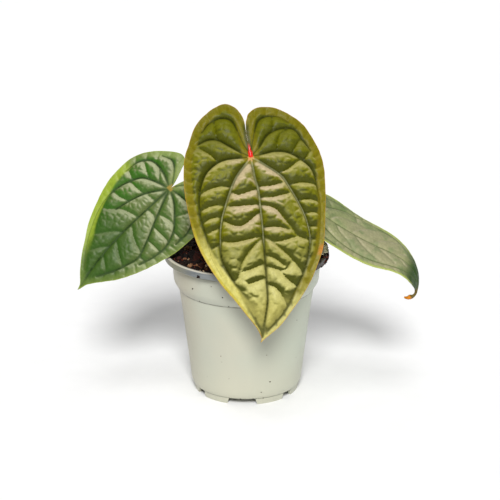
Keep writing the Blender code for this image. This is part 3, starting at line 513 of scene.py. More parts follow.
def dress_leaf(leaf, materials):
    """A blade with its quilted face, ribs under it and a margin, all one closed sheet."""
    flat, rim = fine_points(leaf)
    edges = [(i, (i + 1) % rim) for i in range(rim)]
    flat, _, triangles = geometry.delaunay_2d_cdt([Vector(p) for p in flat], edges, [], 1, 1e-7)[:3]
    flat = np.array([tuple(p) for p in flat])
    triangles = np.array(triangles)[:, ::-1]
    height, fields = fine_relief(leaf, flat)
    top = bend_leaf(leaf, flat, height)
    normals = point_normals(top, triangles)
    thickness = BLADE + RIB_BELOW * np.maximum(fields["rib"], 0.5 * fields["branch"])
    if "swollen" in leaf["fine"]:
        middle, reach, swelling = leaf["fine"]["swollen"]
        thickness += swelling * np.exp(-((flat[:, 1] - middle) / reach) ** 2)
    under = top - normals * thickness[:, None]
    flush = np.zeros(len(flat))
    towards_tip = bend_leaf(leaf, flat + (0.0, 1.0), flush) - bend_leaf(leaf, flat, flush)
    towards_tip /= np.linalg.norm(towards_tip, axis=1, keepdims=True)
    # slope: how far each face turns to the leaf's base, and so up to the light; the paints lay painted light
    # and shade by it
    fields["slope"] = -(normals * towards_tip).sum(axis=1)
    fields["u"], fields["v"] = flat.T
    count = len(flat)
    sides = [(i, i + count, j + count, j) for i, j in edges]
    faces = [tuple(t) for t in triangles] + [tuple(t[::-1] + count) for t in triangles]
    mesh = bpy.data.meshes.new(leaf["name"] + "_blade")
    mesh.from_pydata([tuple(p) for p in np.vstack([top, under])], [], faces + sides)
    backs = np.zeros(len(mesh.polygons), np.int32)
    backs[len(triangles):2 * len(triangles)] = 1
    mesh.polygons.foreach_set("material_index", backs)
    for name, values in fields.items():
        add_field(mesh, name, np.tile(values, 2))
    lay_out_map(mesh, flat, len(triangles), rim)
    mesh.shade_smooth()
    mesh.set_sharp_from_angle(angle=math.radians(70.0))
    add_piece(leaf["name"] + "_blade", mesh, leaf["name"], materials)


def lay_out_map(mesh, flat, face_count, rim):
    """A map that lays the face, the underside and the rim side by side, for baking."""
    low = flat.min(axis=0)
    size = (flat.max(axis=0) - low).max()
    place = (flat - low) / size * 0.49
    corner = np.empty(len(mesh.loops), np.int32)
    mesh.loops.foreach_get("vertex_index", corner)
    count = len(flat)
    at = np.empty((len(corner), 2))
    on_face = corner < count
    at[on_face] = place[corner[on_face]] + (0.005, 0.02)
    at[~on_face] = place[corner[~on_face] - count] + (0.505, 0.02)
    rim_corner = corner[6 * face_count:].reshape(-1, 4)
    step = np.arange(len(rim_corner)) / len(rim_corner)
    for k, (ahead, up) in enumerate(((0, 0.0), (0, 1.0), (1, 1.0), (1, 0.0))):
        at[6 * face_count + k::4, 0] = step + ahead / rim
        at[6 * face_count + k::4, 1] = 0.004 + 0.010 * up
    layer = mesh.uv_layers.new(name="OFBake")
    layer.uv.foreach_set("vector", at.astype(np.float32).ravel())


# Materials

def tone(red, green, blue):
    """The linear colour of one given as it looks on a screen, 0 to 255."""
    shares = [c / 255.0 for c in (red, green, blue)]
    return tuple(((s + 0.055) / 1.055) ** 2.4 if s > 0.04045 else s / 12.92 for s in shares) + (1.0,)


class Paint:
    """A procedural material, put together node by node. Its tones are laid one over another."""

    def __init__(self, name, base, **finish):
        self.material = bpy.data.materials.new(name)
        self.material.use_nodes = True
        self.tree = self.material.node_tree
        self.shader = self.tree.nodes["Principled BSDF"]
        self.colour = tone(*base)
        for socket, value in finish.items():
            self.shader.inputs[socket.replace("_", " ")].default_value = value

    def node(self, kind, inputs=(), output=0, **settings):
        made = self.tree.nodes.new(kind)
        for key, value in settings.items():
            setattr(made, key, value)
        for socket, value in inputs:
            if isinstance(value, bpy.types.NodeSocket):
                self.tree.links.new(value, made.inputs[socket])
            else:
                made.inputs[socket].default_value = value
        return made.outputs[output]

    def field(self, name):
        return self.node("ShaderNodeAttribute", attribute_name=name, output="Fac")

    def place(self):
        return self.node("ShaderNodeTexCoord", output="Object")

    def split(self, vector):
        made = self.tree.nodes.new("ShaderNodeSeparateXYZ")
        self.tree.links.new(vector, made.inputs[0])
        return made.outputs

    def join(self, x, y, z=0.0):
        return self.node("ShaderNodeCombineXYZ", [(0, x), (1, y), (2, z)])

    def noise(self, at, scale, detail=3.0, rough=0.55):
        inputs = [("Vector", at), ("Scale", scale), ("Detail", detail), ("Roughness", rough)]
        return self.node("ShaderNodeTexNoise", inputs, output="Fac")

    def cells(self, at, scale):
        return self.node("ShaderNodeTexVoronoi", [("Vector", at), ("Scale", scale)], output="Distance")

    def calc(self, operation, a, b=0.0):
        return self.node("ShaderNodeMath", [(0, a), (1, b)], operation=operation)

    def times(self, product, *others):
        for other in others:
            product = self.calc("MULTIPLY", product, other)
        return product

    def step(self, value, start, end, low=0.0, high=1.0):
        """low up to start and high from end on, with a smooth turn between; start may be above end."""
        return self.node("ShaderNodeMapRange", [(0, value), (1, start), (2, end), (3, low), (4, high)],
                         interpolation_type="SMOOTHSTEP")

    def band(self, value, centre, rise, fall):
        """1 in a band of the value, which comes in over rise and goes out over fall, from the centre."""
        return self.times(self.step(value, centre + rise[0], centre + rise[1]),
                          self.step(value, centre + fall[0], centre + fall[1]))

    def mix(self, share, a, b, blend="MIX"):
        return self.node("ShaderNodeMix", [(0, share), (6, a), (7, b)], output=2, data_type="RGBA",
                         blend_type=blend)

    def lay(self, shade, *masks):
        """Lays a tone over the colour so far, as strongly as the product of the masks says."""
        self.colour = self.mix(self.times(*masks), self.colour, tone(*shade))

    def shade(self, grain, start, end, low, high):
        """Makes the colour darker and lighter with the grain."""
        share = self.step(grain, start, end, low, high)
        self.colour = self.mix(1.0, self.colour, self.join(share, share, share), "MULTIPLY")

    def finish(self, roughness, relief, distance, strength):
        """Joins colour, roughness and bump to the shader."""
        inputs = [("Height", relief), ("Distance", distance), ("Strength", strength)]
        bump = self.node("ShaderNodeBump", inputs)
        for socket, value in (("Base Color", self.colour), ("Roughness", roughness), ("Normal", bump)):
            self.tree.links.new(value, self.shader.inputs[socket])
        return self.material


def leaf_paint(name, base, zones, speckle, rough, **finish):
    """Paint for a blade's face, with its zones laid over the base tone."""
    paint = Paint(name, base, Coat_Weight=0.02, **finish)
    fields = {key: paint.field(key) for key in ("u", "v", "edge", "rise", "rib", "pale", "slope")}
    at = paint.join(fields["u"], fields["v"])
    fields["patches"] = paint.noise(at, 0.075, 3.0)
    flecks = paint.noise(at, 0.42, 4.0, 0.65)
    for shade, bands, strength in zones:
        paint.lay(shade, strength, *[paint.step(fields[key], start, end) for key, start, end in bands])
    paint.shade(flecks, 0.30, 0.72, 1.0 - speckle, 1.0 + speckle)
    skin = paint.calc("ADD", paint.times(flecks, 0.18), rough)
    crease = paint.times(fields["rib"], 0.35)
    relief = paint.calc("ADD", paint.times(paint.cells(at, 1.1), 0.6), flecks)
    return paint.finish(paint.calc("ADD", skin, crease), relief, 0.00030, 0.35)


def under_paint(name, base, vein):
    """Paint for a blade's underside: paler and duller, with its ribs picked out."""
    paint = Paint(name, [c * 0.86 for c in base], Sheen_Weight=0.1)
    flecks = paint.noise(paint.join(paint.field("u"), paint.field("v")), 0.35, 4.0, 0.6)
    paint.lay(base, paint.step(flecks, 0.3, 0.7))
    paint.lay(vein, paint.field("net"), 0.35)
    paint.lay(vein, paint.field("branch"), 0.6)
    paint.lay(vein, paint.step(paint.field("rib"), 0.15, 0.7))
    return paint.finish(paint.calc("ADD", paint.times(flecks, 0.2), 0.5), flecks, 0.0003, 0.6)


# The tones of each blade's face, laid in this order: a colour, the bands of fields that it fills, each from
# where it starts to where it is full, and its strength. u and v are the place on the flat leaf, and edge is
# the distance from its margin. rise is how far the quilting puffs up, and slope how far it turns to the
# base. rib and pale follow the veins, and patches are large and uneven. The tones laid by slope, by low rise
# and by the dark ribs are painted light and shade: painted highlights where the quilting turns up to the
# light, and painted shade where it turns down and in its creases.
FRONT_ZONES = [
    # painted shade on the faces that turn down, away from the light
    ((54, 58, 0), [("slope", 0.08, -0.28)], 0.85),
    # painted highlight: pale beige on the puffs that turn up to the light
    ((166, 158, 96), [("slope", 0.05, 0.42), ("rise", 0.12, 0.42), ("v", -24, 6)], 0.80),
    # painted highlight: pinkish beige on the middle of the blade, on the faces that turn up
    ((190, 170, 142),
     [("v", -2, 8), ("v", 70, 42), ("u", -20, -10), ("u", 28, 14), ("slope", -0.05, 0.30)], 0.65),
    # paler lower blade, and painted reflection where its faces turn up
    ((184, 178, 110), [("v", 56, 92), ("slope", -0.30, 0.10)], 0.85),
    ((168, 160, 84), [("v", 94, 108)], 0.65),
    ((80, 84, 0), [("v", 6, -12)], 0.50),
    # painted shade in the creases between the puffs
    ((46, 50, 0), [("rise", 0.42, 0.10)], 0.85),
    ((114, 104, 2), [("edge", 7.0, 4.8), ("v", 106, 88)], 0.80),
    ((98, 94, 0), [("edge", 7.0, 4.8), ("v", 4, -18)], 0.55),
    # pale yellow lower left margin: paler leaf, and painted light where the margin turns up
    ((192, 184, 100), [("edge", 8.0, 5.8), ("u", 2, -14), ("v", 48, 74)], 0.85),
    ((166, 150, 24), [("edge", 2.4, 1.2), ("u", 2, -14), ("v", 40, 60)], 0.75),
    # painted shade along the veins' creases, but not on the pale veins
    ((54, 58, 0), [("rib", 0.45, 0.90), ("pale", 0.20, 0.05)], 0.70),
    ((150, 150, 108), [("pale", 0.40, 0.85), ("v", -2, 4), ("v", 72, 50)], 0.60),
    ((206, 150, 90),
     [("rib", 0.3, 0.7), ("v", -1, 0.5), ("v", 4.5, 2), ("u", -3, -1.5), ("u", 3, 1.5)], 0.7),
    ((170, 120, 20), [("edge", 0.50, 0.15)], 0.60),
    ((206, 108, 8), [("edge", 3.6, 1.2), ("u", 38, 42), ("v", 61, 65), ("v", 72, 68)], 0.45),
    # painted shade in the notch, where the lobes' edges turn down
    ((54, 58, 6), [("edge", 2.8, 1.0), ("v", 1, -3), ("v", -28, -22), ("u", -7, -5), ("u", 6, 4)], 0.85),
    ((196, 20, 6),
     [("edge", 0.95, 0.50), ("u", -4.5, -3), ("u", 4, 2.5), ("v", -11, -6), ("v", 1.0, 0.0)], 0.95),
    ((204, 16, 6), [("edge", 1.8, 1.1), ("u", -3, -2), ("u", 3, 2), ("v", -5.5, -3), ("v", 0.8, 0.0)], 0.95),
]
LEFT_ZONES = [
    # painted shade on the faces that turn down, away from the light
    ((42, 82, 6), [("slope", 0.0, -0.35)], 0.65),
    # painted highlight: pale grey on the puffs that turn up to the light
    ((166, 170, 134), [("slope", 0.0, 0.34), ("rise", 0.12, 0.45)], 0.75),
    # saturated green on the left half: leaf colour, with painted shade on the faces that turn down
    ((40, 92, 0), [("u", -6, -22), ("slope", 0.15, -0.20)], 0.70),
    ((38, 72, 2), [("v", 24, 54), ("u", 26, 8)], 0.75),
    # painted shade in the creases between the puffs
    ((34, 56, 16), [("rise", 0.42, 0.10)], 0.80),
    ((108, 126, 52), [("edge", 6.0, 1.5)], 0.40),
    ((144, 162, 46), [("edge", 7.5, 5.0), ("u", -8, -22), ("v", 4, 14)], 0.75),
    ((136, 150, 84), [("edge", 7.0, 3.0), ("v", 2, -12)], 0.50),
    # painted shade along the veins' grooves
    ((48, 68, 34), [("rib", 0.40, 0.85)], 0.65),
    ((140, 154, 48), [("edge", 0.8, 0.2)], 0.50),
    ((150, 126, 52), [("rib", 0.2, 0.5), ("v", -4, -2), ("v", 2, 0.8), ("u", -3, -1.5), ("u", 3, 1.5)], 0.8),
]
RIGHT_ZONES = [
    # painted shade on the faces that turn down, away from the light
    ((108, 118, 74), [("slope", 0.0, -0.30)], 0.55),
    # painted highlight: pale purple-grey on the puffs that turn up to the light
    ((178, 170, 140), [("slope", 0.02, 0.30), ("rise", 0.20, 0.60)], 0.60),
    # painted sheen: pale purple-grey on the lower half of the blade
    ((154, 146, 118), [("v", 16, 36), ("v", 84, 64), ("u", 26, 10)], 0.45),
    ((100, 120, 74), [("patches", 0.48, 0.62)], 0.55),
    # dark green towards the curled tip: darker leaf, and painted shade of the fold
    ((34, 64, 14), [("v", 72, 86)], 0.95),
    ((92, 112, 62), [("u", 8, 20), ("v", 34, 20)], 0.45),
    # painted shade in the creases between the puffs
    ((84, 100, 52), [("rise", 0.38, 0.08)], 0.60),
    ((146, 162, 80), [("edge", 2.6, 1.2), ("v", 90, 76)], 0.60),
    ((80, 90, 50), [("rib", 0.35, 0.80), ("v", 6, 12)], 0.70),
    ((176, 186, 96), [("edge", 0.9, 0.3), ("v", 96, 84)], 0.75),
    ((176, 190, 104), [("v", 12, 4), ("v", -6, -2), ("u", -5, -2), ("u", 5, 2)], 0.75),
    ((104, 84, 20), [("v", 99, 102)], 0.90),
    ((206, 122, 12), [("v", 107.5, 110)], 0.90),
]


def pot_paint():
    """Off-white plastic with uneven tint and scattered dirt, and painted light and shade: a lighter right
    side, a darker left side, a grey lip of painted shade with a painted highlight on top, and painted shade
    under the lip, in the step under the collar and at the foot.
    """
    paint = Paint("pot", (181, 180, 163), Coat_Weight=0.08, Coat_Roughness=0.30)
    at = paint.place()
    x, y, z = paint.split(at)
    step, times = paint.step, paint.times
    fine = paint.noise(at, 260.0, 4.0, 0.6)
    paint.lay((177, 179, 163), step(paint.noise(at, 24.0, 2.0), 0.35, 0.65))
    # painted light: the right side lighter and greener
    paint.lay((192, 200, 182), step(x, 0.005, 0.045, 0.0, 0.75))
    # painted shade: the left side darker and beiger
    paint.lay((170, 164, 142), step(x, -0.030, -0.048, 0.0, 0.8))
    paint.lay((186, 184, 164), step(z, 0.045, 0.008, 0.0, 0.6))

    lip_z = POT_HEIGHT - LIP_HEIGHT
    # painted shade: the lip band painted grey, olive on the left, on the same off-white plastic
    radius = paint.calc("SQRT", paint.calc("ADD", times(x, x), times(y, y)))
    on_lip = times(step(z, lip_z - 0.0006, lip_z - 0.0002), step(radius, 0.0552, 0.0558))
    streaks = paint.noise(paint.join(times(x, 60.0), times(y, 60.0), times(z, 900.0)), 1.0, 3.0)
    grey = paint.mix(step(streaks, 0.3, 0.7), tone(94, 99, 101), tone(126, 130, 130))
    grey = paint.mix(step(x, -0.036, -0.052), grey, tone(112, 110, 88))
    paint.colour = paint.mix(on_lip, paint.colour, grey)
    # painted highlight along the top edge of the lip
    paint.lay((206, 200, 184), step(z, POT_HEIGHT - 0.0009, POT_HEIGHT - 0.0002), 0.8)
    paint.lay((40, 30, 18), step(x, 0.040, 0.050), step(z, lip_z - 0.0006, lip_z + 0.0004),
              step(y, 0.016, 0.004), step(fine, 0.30, 0.50, 0.75, 1.0))

    # painted shade in the groove under the lip
    paint.lay((124, 120, 104), paint.band(z, lip_z, (-0.0028, -0.0023), (-0.0016, -0.0021)), 0.55)
    # painted shade in the step under the collar
    paint.lay((92, 92, 78), paint.band(z, COLLAR_FOOT_Z, (-0.0008, -0.0002), (0.0010, 0.0002)),
              step(fine, 0.25, 0.6, 0.35, 0.85))
    # painted shade along the bottom corner, above the foot ring
    paint.lay((120, 124, 104), paint.band(z, FOOT_HEIGHT, (-0.0006, 0.0), (0.0010, 0.0003)), 0.7)
    paint.lay((110, 104, 84), step(paint.cells(at, 190.0), 0.15, 0.08),
              step(paint.noise(at, 95.0, 0.0), 0.66, 0.70), 0.45)
    return paint.finish(step(fine, 0.2, 0.8, 0.34, 0.50), fine, 0.00012, 0.5)


def soil_paint(name, lightness):
    """Damp potting mix: near black, with rusty and tan crumbs."""
    paint = Paint(name, (14, 8, 6), Specular_IOR_Level=0.2)
    at, tint = paint.place(), paint.field("tint")
    fine = paint.noise(at, 900.0, 4.0, 0.7)
    paint.lay((36, 17, 11), paint.step(paint.noise(at, 150.0, 3.0), 0.35, 0.7))
    paint.lay((84, 34, 20), paint.step(tint, 0.50, 0.66))
    paint.lay((146, 104, 72), paint.step(tint, 0.80, 0.88))
    paint.lay((206, 184, 148), paint.step(tint, 0.94, 0.97))
    paint.shade(fine, 0.25, 0.75, 0.7 * lightness, 1.25 * lightness)
    return paint.finish(paint.step(fine, 0.2, 0.8, 0.62, 0.95), fine, 0.0006, 0.8)


def moss_paint():
    """Grey-green moss over old mix, speckled with black and cream grit."""
    paint = Paint("moss", (126, 122, 92))
    at, tint = paint.place(), paint.field("tint")
    fine = paint.noise(at, 1100.0, 3.0, 0.7)
    paint.lay((206, 202, 168), paint.step(paint.noise(at, 210.0, 4.0, 0.6), 0.38, 0.62))
    paint.lay((40, 34, 24), paint.step(tint, 0.48, 0.58))
    paint.lay((176, 168, 132), paint.step(tint, 0.70, 0.78))
    paint.lay((116, 122, 72), paint.step(tint, 0.90, 0.95))
    paint.shade(fine, 0.25, 0.75, 0.65, 1.2)
    return paint.finish(paint.step(fine, 0.2, 0.8, 0.75, 0.98), fine, 0.0007, 0.9)


def stalk_paint(name, low, high, top):
    """A satin stalk: one tone at its foot, another above, and a third on its swollen top."""
    paint = Paint(name, low, Coat_Weight=0.15, Coat_Roughness=0.3)
    at, along = paint.place(), paint.field("along")
    fine = paint.noise(at, 420.0, 4.0, 0.6)
    paint.lay(high, paint.step(along, 0.05, 0.6))
    paint.lay(top, paint.step(along, 0.84, 0.93))
    paint.lay((206, 206, 160), paint.step(paint.cells(at, 700.0), 0.20, 0.12), 0.35)
    paint.shade(fine, 0.25, 0.75, 0.85, 1.15)
    return paint.finish(paint.step(fine, 0.2, 0.8, 0.35, 0.5), fine, 0.00015, 0.5)


def stem_paint():
    """Corky stem, darker in the rings that old leaves left, and green at its growing point."""
    paint = Paint("stem", (112, 104, 58))
    at = paint.place()
    fine = paint.noise(at, 600.0, 5.0, 0.65)
    paint.lay((142, 128, 78), paint.step(fine, 0.3, 0.7))
    paint.lay((66, 48, 30), paint.field("ring"), 0.8)
    paint.lay((120, 132, 58), paint.step(paint.split(at)[2], STEM_TOP_Z - 0.0035, STEM_TOP_Z - 0.0005))
    return paint.finish(paint.step(fine, 0.2, 0.8, 0.6, 0.85), fine, 0.0004, 0.7)


# Pot

def polar(radius, angle, z=0.0):
    """The point at a radius, an angle and a height about the pot's axis."""
    return radius * math.cos(angle), radius * math.sin(angle), z


def arc(centre, radius, start, end, count):
    """Points on an arc in the (radius, height) plane, angles in degrees."""
    angles = [math.radians(start + (end - start) * i / (count - 1)) for i in range(count)]
    return [(centre[0] + radius * math.cos(a), centre[1] + radius * math.sin(a)) for a in angles]


def wall_bends():
    """Height and inner radius at each bend of the pot's wall, from above the floor's corner up."""
    lip_foot = POT_HEIGHT - LIP_HEIGHT
    lip_inside = RIM_RADIUS - LIP_WIDTH
    return [(FOOT_HEIGHT + CORNER_RISE, BODY_FOOT_RADIUS - WALL), (COLLAR_FOOT_Z, BODY_TOP_RADIUS - WALL),
            (COLLAR_CORNER_Z, COLLAR_FOOT_RADIUS - WALL), (lip_foot + 0.0006, COLLAR_TOP_RADIUS - WALL),
            (lip_foot + 0.0018, lip_inside - 0.0004), (POT_HEIGHT - 0.0010, lip_inside)]


def inner_radius(z):
    """Radius of the pot's inner wall at height z."""
    heights, radii = zip(*wall_bends())
    return float(np.interp(z, heights, radii))


def outer_side():
    """The pot's outside as (radius, height), from its rounded lip down to the body's foot."""
    lip_foot = POT_HEIGHT - LIP_HEIGHT
    lip_round, foot_round = 0.0011, 0.0006
    outer = arc((RIM_RADIUS - lip_round, POT_HEIGHT - lip_round), lip_round, 90, 0, 9)
    outer += [(RIM_RADIUS, POT_HEIGHT - 0.5 * LIP_HEIGHT)]
    outer += arc((RIM_RADIUS - foot_round, lip_foot + foot_round), foot_round, 0, -80, 5)
    outer += arc((COLLAR_TOP_RADIUS + foot_round, lip_foot - 0.0008), foot_round, 90, 180, 4)
    # Rounded steps, in tenths of a millimetre outwards and up from each corner
    corners = [((COLLAR_TOP_RADIUS, lip_foot), [(0, -19), (-3, -22), (-1, -26), (-3, -70)]),
               ((COLLAR_FOOT_RADIUS, COLLAR_CORNER_Z), [(1, 22), (-3, 6), (-11, -8)]),
               ((BODY_TOP_RADIUS, COLLAR_FOOT_Z), [(13, 12), (2, 0), (-1, -5), (0, -18)])]
    for (radius, z), offsets in corners:
        outer += [(radius + out * 0.1 * MM, z + up * 0.1 * MM) for out, up in offsets]
    for share in (0.25, 0.5, 0.75):
        radius = BODY_TOP_RADIUS + share * (BODY_FOOT_RADIUS - BODY_TOP_RADIUS)
        outer.append((radius, COLLAR_FOOT_Z + share * (FOOT_HEIGHT + CORNER_RISE - COLLAR_FOOT_Z)))
    for turn in np.radians(np.linspace(3.0, 82.0, 12)):
        outer.append((BODY_FOOT_RADIUS - CORNER_WIDTH * (1.0 - math.cos(turn)),
                      FOOT_HEIGHT + CORNER_RISE * (1.0 - math.sin(turn))))
    return outer


def outer_radius(z):
    """Radius of the pot's outside at height z."""
    radii, heights = zip(*outer_side()[::-1])
    return float(np.interp(z, heights, radii))


def fine_profile():
    """The pot's section, from its rounded lip down the outside, under the foot ring and up the inside."""
    lip_inside = RIM_RADIUS - LIP_WIDTH
    foot_edge = 0.0003
    outer = outer_side() + [(FOOT_RADIUS, FOOT_HEIGHT - 0.0001)]
    outer += arc((FOOT_RADIUS - 0.0003 - foot_edge, foot_edge - FOOT_DROP), foot_edge, 0, -90, 3)
    outer += [(FOOT_RADIUS - FOOT_WALL, -FOOT_DROP), (FOOT_RADIUS - FOOT_WALL, FOOT_HEIGHT - 0.0004),
              (DRAIN_CIRCLE + 2.0 * DRAIN_RADIUS, FOOT_HEIGHT - 0.0004),
              (DRAIN_CIRCLE - 2.0 * DRAIN_RADIUS, FOOT_HEIGHT - 0.0004), (0.0, FOOT_HEIGHT - 0.0004)]
    floor = FOOT_HEIGHT + FLOOR_THICKNESS
    corner = BODY_FOOT_RADIUS - CORNER_WIDTH
    inner = [(0.0, floor), (DRAIN_CIRCLE, floor), (corner, floor),
             (corner + 0.7 * (CORNER_WIDTH - WALL), floor + 0.0012)]
    inner += [(radius, z) for z, radius in wall_bends()[:-1]] + [(lip_inside, POT_HEIGHT - 0.0012)]
    inner += arc((lip_inside + 0.0006, POT_HEIGHT - 0.0006), 0.0006, 170, 95, 4)
    return outer + inner


def lathe(name, profile, steps):
    """A mesh turned round the pot's axis from (radius, height) points, closed on itself."""
    angles = np.arange(steps) * 2.0 * math.pi / steps
    bm = bmesh.new()
    rings = []
    for radius, z in profile:
        if radius < 1e-6:
            rings.append([bm.verts.new((0.0, 0.0, z))] * steps)
        else:
            rings.append([bm.verts.new(polar(radius, angle, z)) for angle in angles])
    for above, below in zip(rings, rings[1:] + rings[:1]):
        for i in range(steps):
            j = (i + 1) % steps
            corners = list(dict.fromkeys([above[i], below[i], below[j], above[j]]))
            if len(corners) > 2:
                bm.faces.new(corners)
    bmesh.ops.recalc_face_normals(bm, faces=bm.faces)
    return finish_mesh(name, bm)


def finish_mesh(name, bm):
    mesh = bpy.data.meshes.new(name)
    bm.to_mesh(mesh)
    bm.free()
    return mesh


def pot_cutters():
    """The foot ring's slanted gaps and the drain holes, as one mesh."""
    bm = bmesh.new()
    slant = 0.0028
    for i, (turn, width) in enumerate(FOOT_GAPS):
        gap = bmesh.ops.create_cube(bm, size=1.0)["verts"]
        for vert in gap:
            wide = width - 0.4 * slant if vert.co.z > 0.0 else width + slant
            vert.co = Vector((vert.co.x * 0.0080, vert.co.y * wide, vert.co.z * 0.0060))
            vert.co += Vector((FOOT_RADIUS, 0.0, FOOT_HEIGHT - 0.0032))
        bmesh.ops.transform(bm, matrix=Matrix.Rotation(math.radians(turn), 4, "Z"), verts=gap)
        drain = bmesh.ops.create_cone(bm, cap_ends=True, segments=40, radius1=DRAIN_RADIUS,
                                      radius2=DRAIN_RADIUS, depth=0.020)["verts"]
        around = math.radians(FOOT_GAPS[0][0]) + (i + 0.5) * 2.0 * math.pi / len(FOOT_GAPS)
        place = Matrix.Rotation(around, 4, "Z") @ Matrix.Translation((DRAIN_CIRCLE, 0.0, FOOT_HEIGHT))
        bmesh.ops.transform(bm, matrix=place, verts=drain)
    bmesh.ops.recalc_face_normals(bm, faces=bm.faces)
    return finish_mesh("pot_cutters", bm)


def dress_pot():
    """The pot's shell, with the foot ring's gaps and the drain holes cut out of it."""
    body = add_object("pot_blank", lathe("pot_shell", fine_profile(), POT_STEPS))
    cutter = add_object("pot_cutters", pot_cutters())
    boolean = body.modifiers.new("gaps", "BOOLEAN")
    boolean.operation = "DIFFERENCE"
    boolean.solver = "EXACT"
    boolean.object = cutter
    depsgraph = bpy.context.evaluated_depsgraph_get()
    mesh = bpy.data.meshes.new_from_object(body.evaluated_get(depsgraph))
    for obj in (body, cutter):
        bpy.data.objects.remove(obj, do_unlink=True)
    mesh.shade_smooth()
    mesh.set_sharp_from_angle(angle=math.radians(38.0))
    add_piece("pot_shell", mesh, "pot", [pot_paint()])


# Soil

def soil_height(x, y):
    """Height of the lumpy soil over the point: a low crown with grains of two sizes."""
    r = math.hypot(x, y)
    edge = inner_radius(SOIL_EDGE_Z)
    crown = SOIL_CROWN * (1.0 - (r / edge) ** 2)
    coarse = noise.noise(Vector((x, y, 0.0)) * 110.0)
    fine = noise.noise(Vector((x, y, 0.02)) * 330.0)
    from_clump = math.hypot(x - CLUMP_CENTRE[0], y - CLUMP_CENTRE[1])
    loose = min(1.0, max(0.0, (from_clump - CLUMP_BED[0]) / (CLUMP_BED[1] - CLUMP_BED[0])))
    rough = SOIL_ROUGHNESS * (0.25 + 0.75 * min(1.0, max(0.0, (edge - r) / 0.008)))
    return SOIL_EDGE_Z + loose * (crown + rough * (1.3 * coarse + 0.9 * fine))


def dress_soil():
    """The soil's body: a finely broken top that reaches the wall, and a plain plug below it."""
    bm = bmesh.new()
    edge = inner_radius(SOIL_EDGE_Z) - SOIL_CLEARANCE
    angles = [2.0 * math.pi * i / SOIL_SIDES for i in range(SOIL_SIDES)]
    rings = []
    for k in range(1, SOIL_RINGS + 1):
        ring = []
        for angle in angles:
            x, y, _ = polar(edge * k / SOIL_RINGS, angle)
            crumbs = noise.noise(Vector((x, y, 0.3)) * 700.0)
            crumbs += 0.6 * noise.noise(Vector((x, y, 0.7)) * 1500.0)
            z = soil_height(x, y) + 0.0005 * crumbs * min(1.0, 0.2 + (SOIL_RINGS - k) / 6.0)
            fit = min(1.0, (inner_radius(z) - 0.5 * SOIL_CLEARANCE) / math.hypot(x, y))
            ring.append(bm.verts.new((x * fit, y * fit, z)))
        rings.append(ring)
    floor = FOOT_HEIGHT + FLOOR_THICKNESS + GAP
    below = [(radius - SOIL_CLEARANCE, z + 0.8 * SOIL_CLEARANCE) for z, radius in wall_bends()[4:0:-1]]
    below += [(inner_radius(0.0150) - 2.0 * SOIL_CLEARANCE, 0.0150),
              (BODY_FOOT_RADIUS - CORNER_WIDTH - 0.0010, floor)]
    rings += [[bm.verts.new(polar(radius, angle, z)) for angle in angles] for radius, z in below]
    top = bm.verts.new((0.0, 0.0, soil_height(0.0, 0.0)))
    bottom = bm.verts.new((0.0, 0.0, floor))
    for i in range(SOIL_SIDES):
        j = (i + 1) % SOIL_SIDES
        bm.faces.new((top, rings[0][i], rings[0][j]))
        bm.faces.new((bottom, rings[-1][j], rings[-1][i]))
        for upper, lower in zip(rings[:-1], rings[1:]):
            bm.faces.new((upper[j], upper[i], lower[i], lower[j]))
    mesh = finish_mesh("soil_bed", bm)
    add_field(mesh, "tint", [0.35 + 0.30 * noise.noise(v.co * 260.0) for v in mesh.vertices])
    mesh.shade_smooth()
    add_piece("soil_bed", mesh, "soil", [soil_paint("soil_bed", 1.0)])


def ball(subdivisions, squared=1.0):
    """Points and faces of a ball, drawn towards a cube by a lower power, for chips with flat sides."""
    bm = bmesh.new()
    bmesh.ops.create_icosphere(bm, subdivisions=subdivisions, radius=1.0)
    places = np.array([tuple(v.co) for v in bm.verts])
    faces = np.array([[v.index for v in f.verts] for f in bm.faces])
    bm.free()
    return np.sign(places) * np.abs(places) ** squared, faces


def any_turn(rng):
    return Vector((rng.gauss(0, 1), rng.gauss(0, 1), rng.gauss(0, 1))).normalized().to_track_quat("Z", "Y")


class Heap:
    """Small closed shapes gathered into one mesh, with a number at each point for its paint to read."""

    def __init__(self):
        self.places, self.faces, self.values, self.count = [], [], [], 0

    def add(self, places, faces, values):
        self.places.append(places)
        self.faces += [tuple(self.count + i for i in face) for face in faces]
        self.values.append(np.broadcast_to(values, len(places)))
        self.count += len(places)

    def add_lump(self, body, centre, size, turn, seed, roughness, tint):
        """A ball made into a rough stone or chip of the given half sizes."""
        shape, faces = body
        places = np.empty_like(shape)
        matrix = turn.to_matrix()
        for i, p in enumerate(shape):
            swollen = 1.0 + roughness * noise.noise(Vector(p) * 1.7 + Vector((seed, 2.0 * seed, 0.0)))
            places[i] = matrix @ Vector((p[0] * size[0], p[1] * size[1], p[2] * size[2])) * swollen
        self.add(places + np.array(centre), faces, tint)

    def dress(self, name, node, field, paint):
        """Makes the heap a piece, with its numbers under the field's name."""
        mesh = bpy.data.meshes.new(name)
        mesh.from_pydata([tuple(p) for p in np.vstack(self.places)], [], self.faces)
        add_field(mesh, field, np.concatenate(self.values))
        mesh.shade_smooth()
        add_piece(name, mesh, node, [paint])


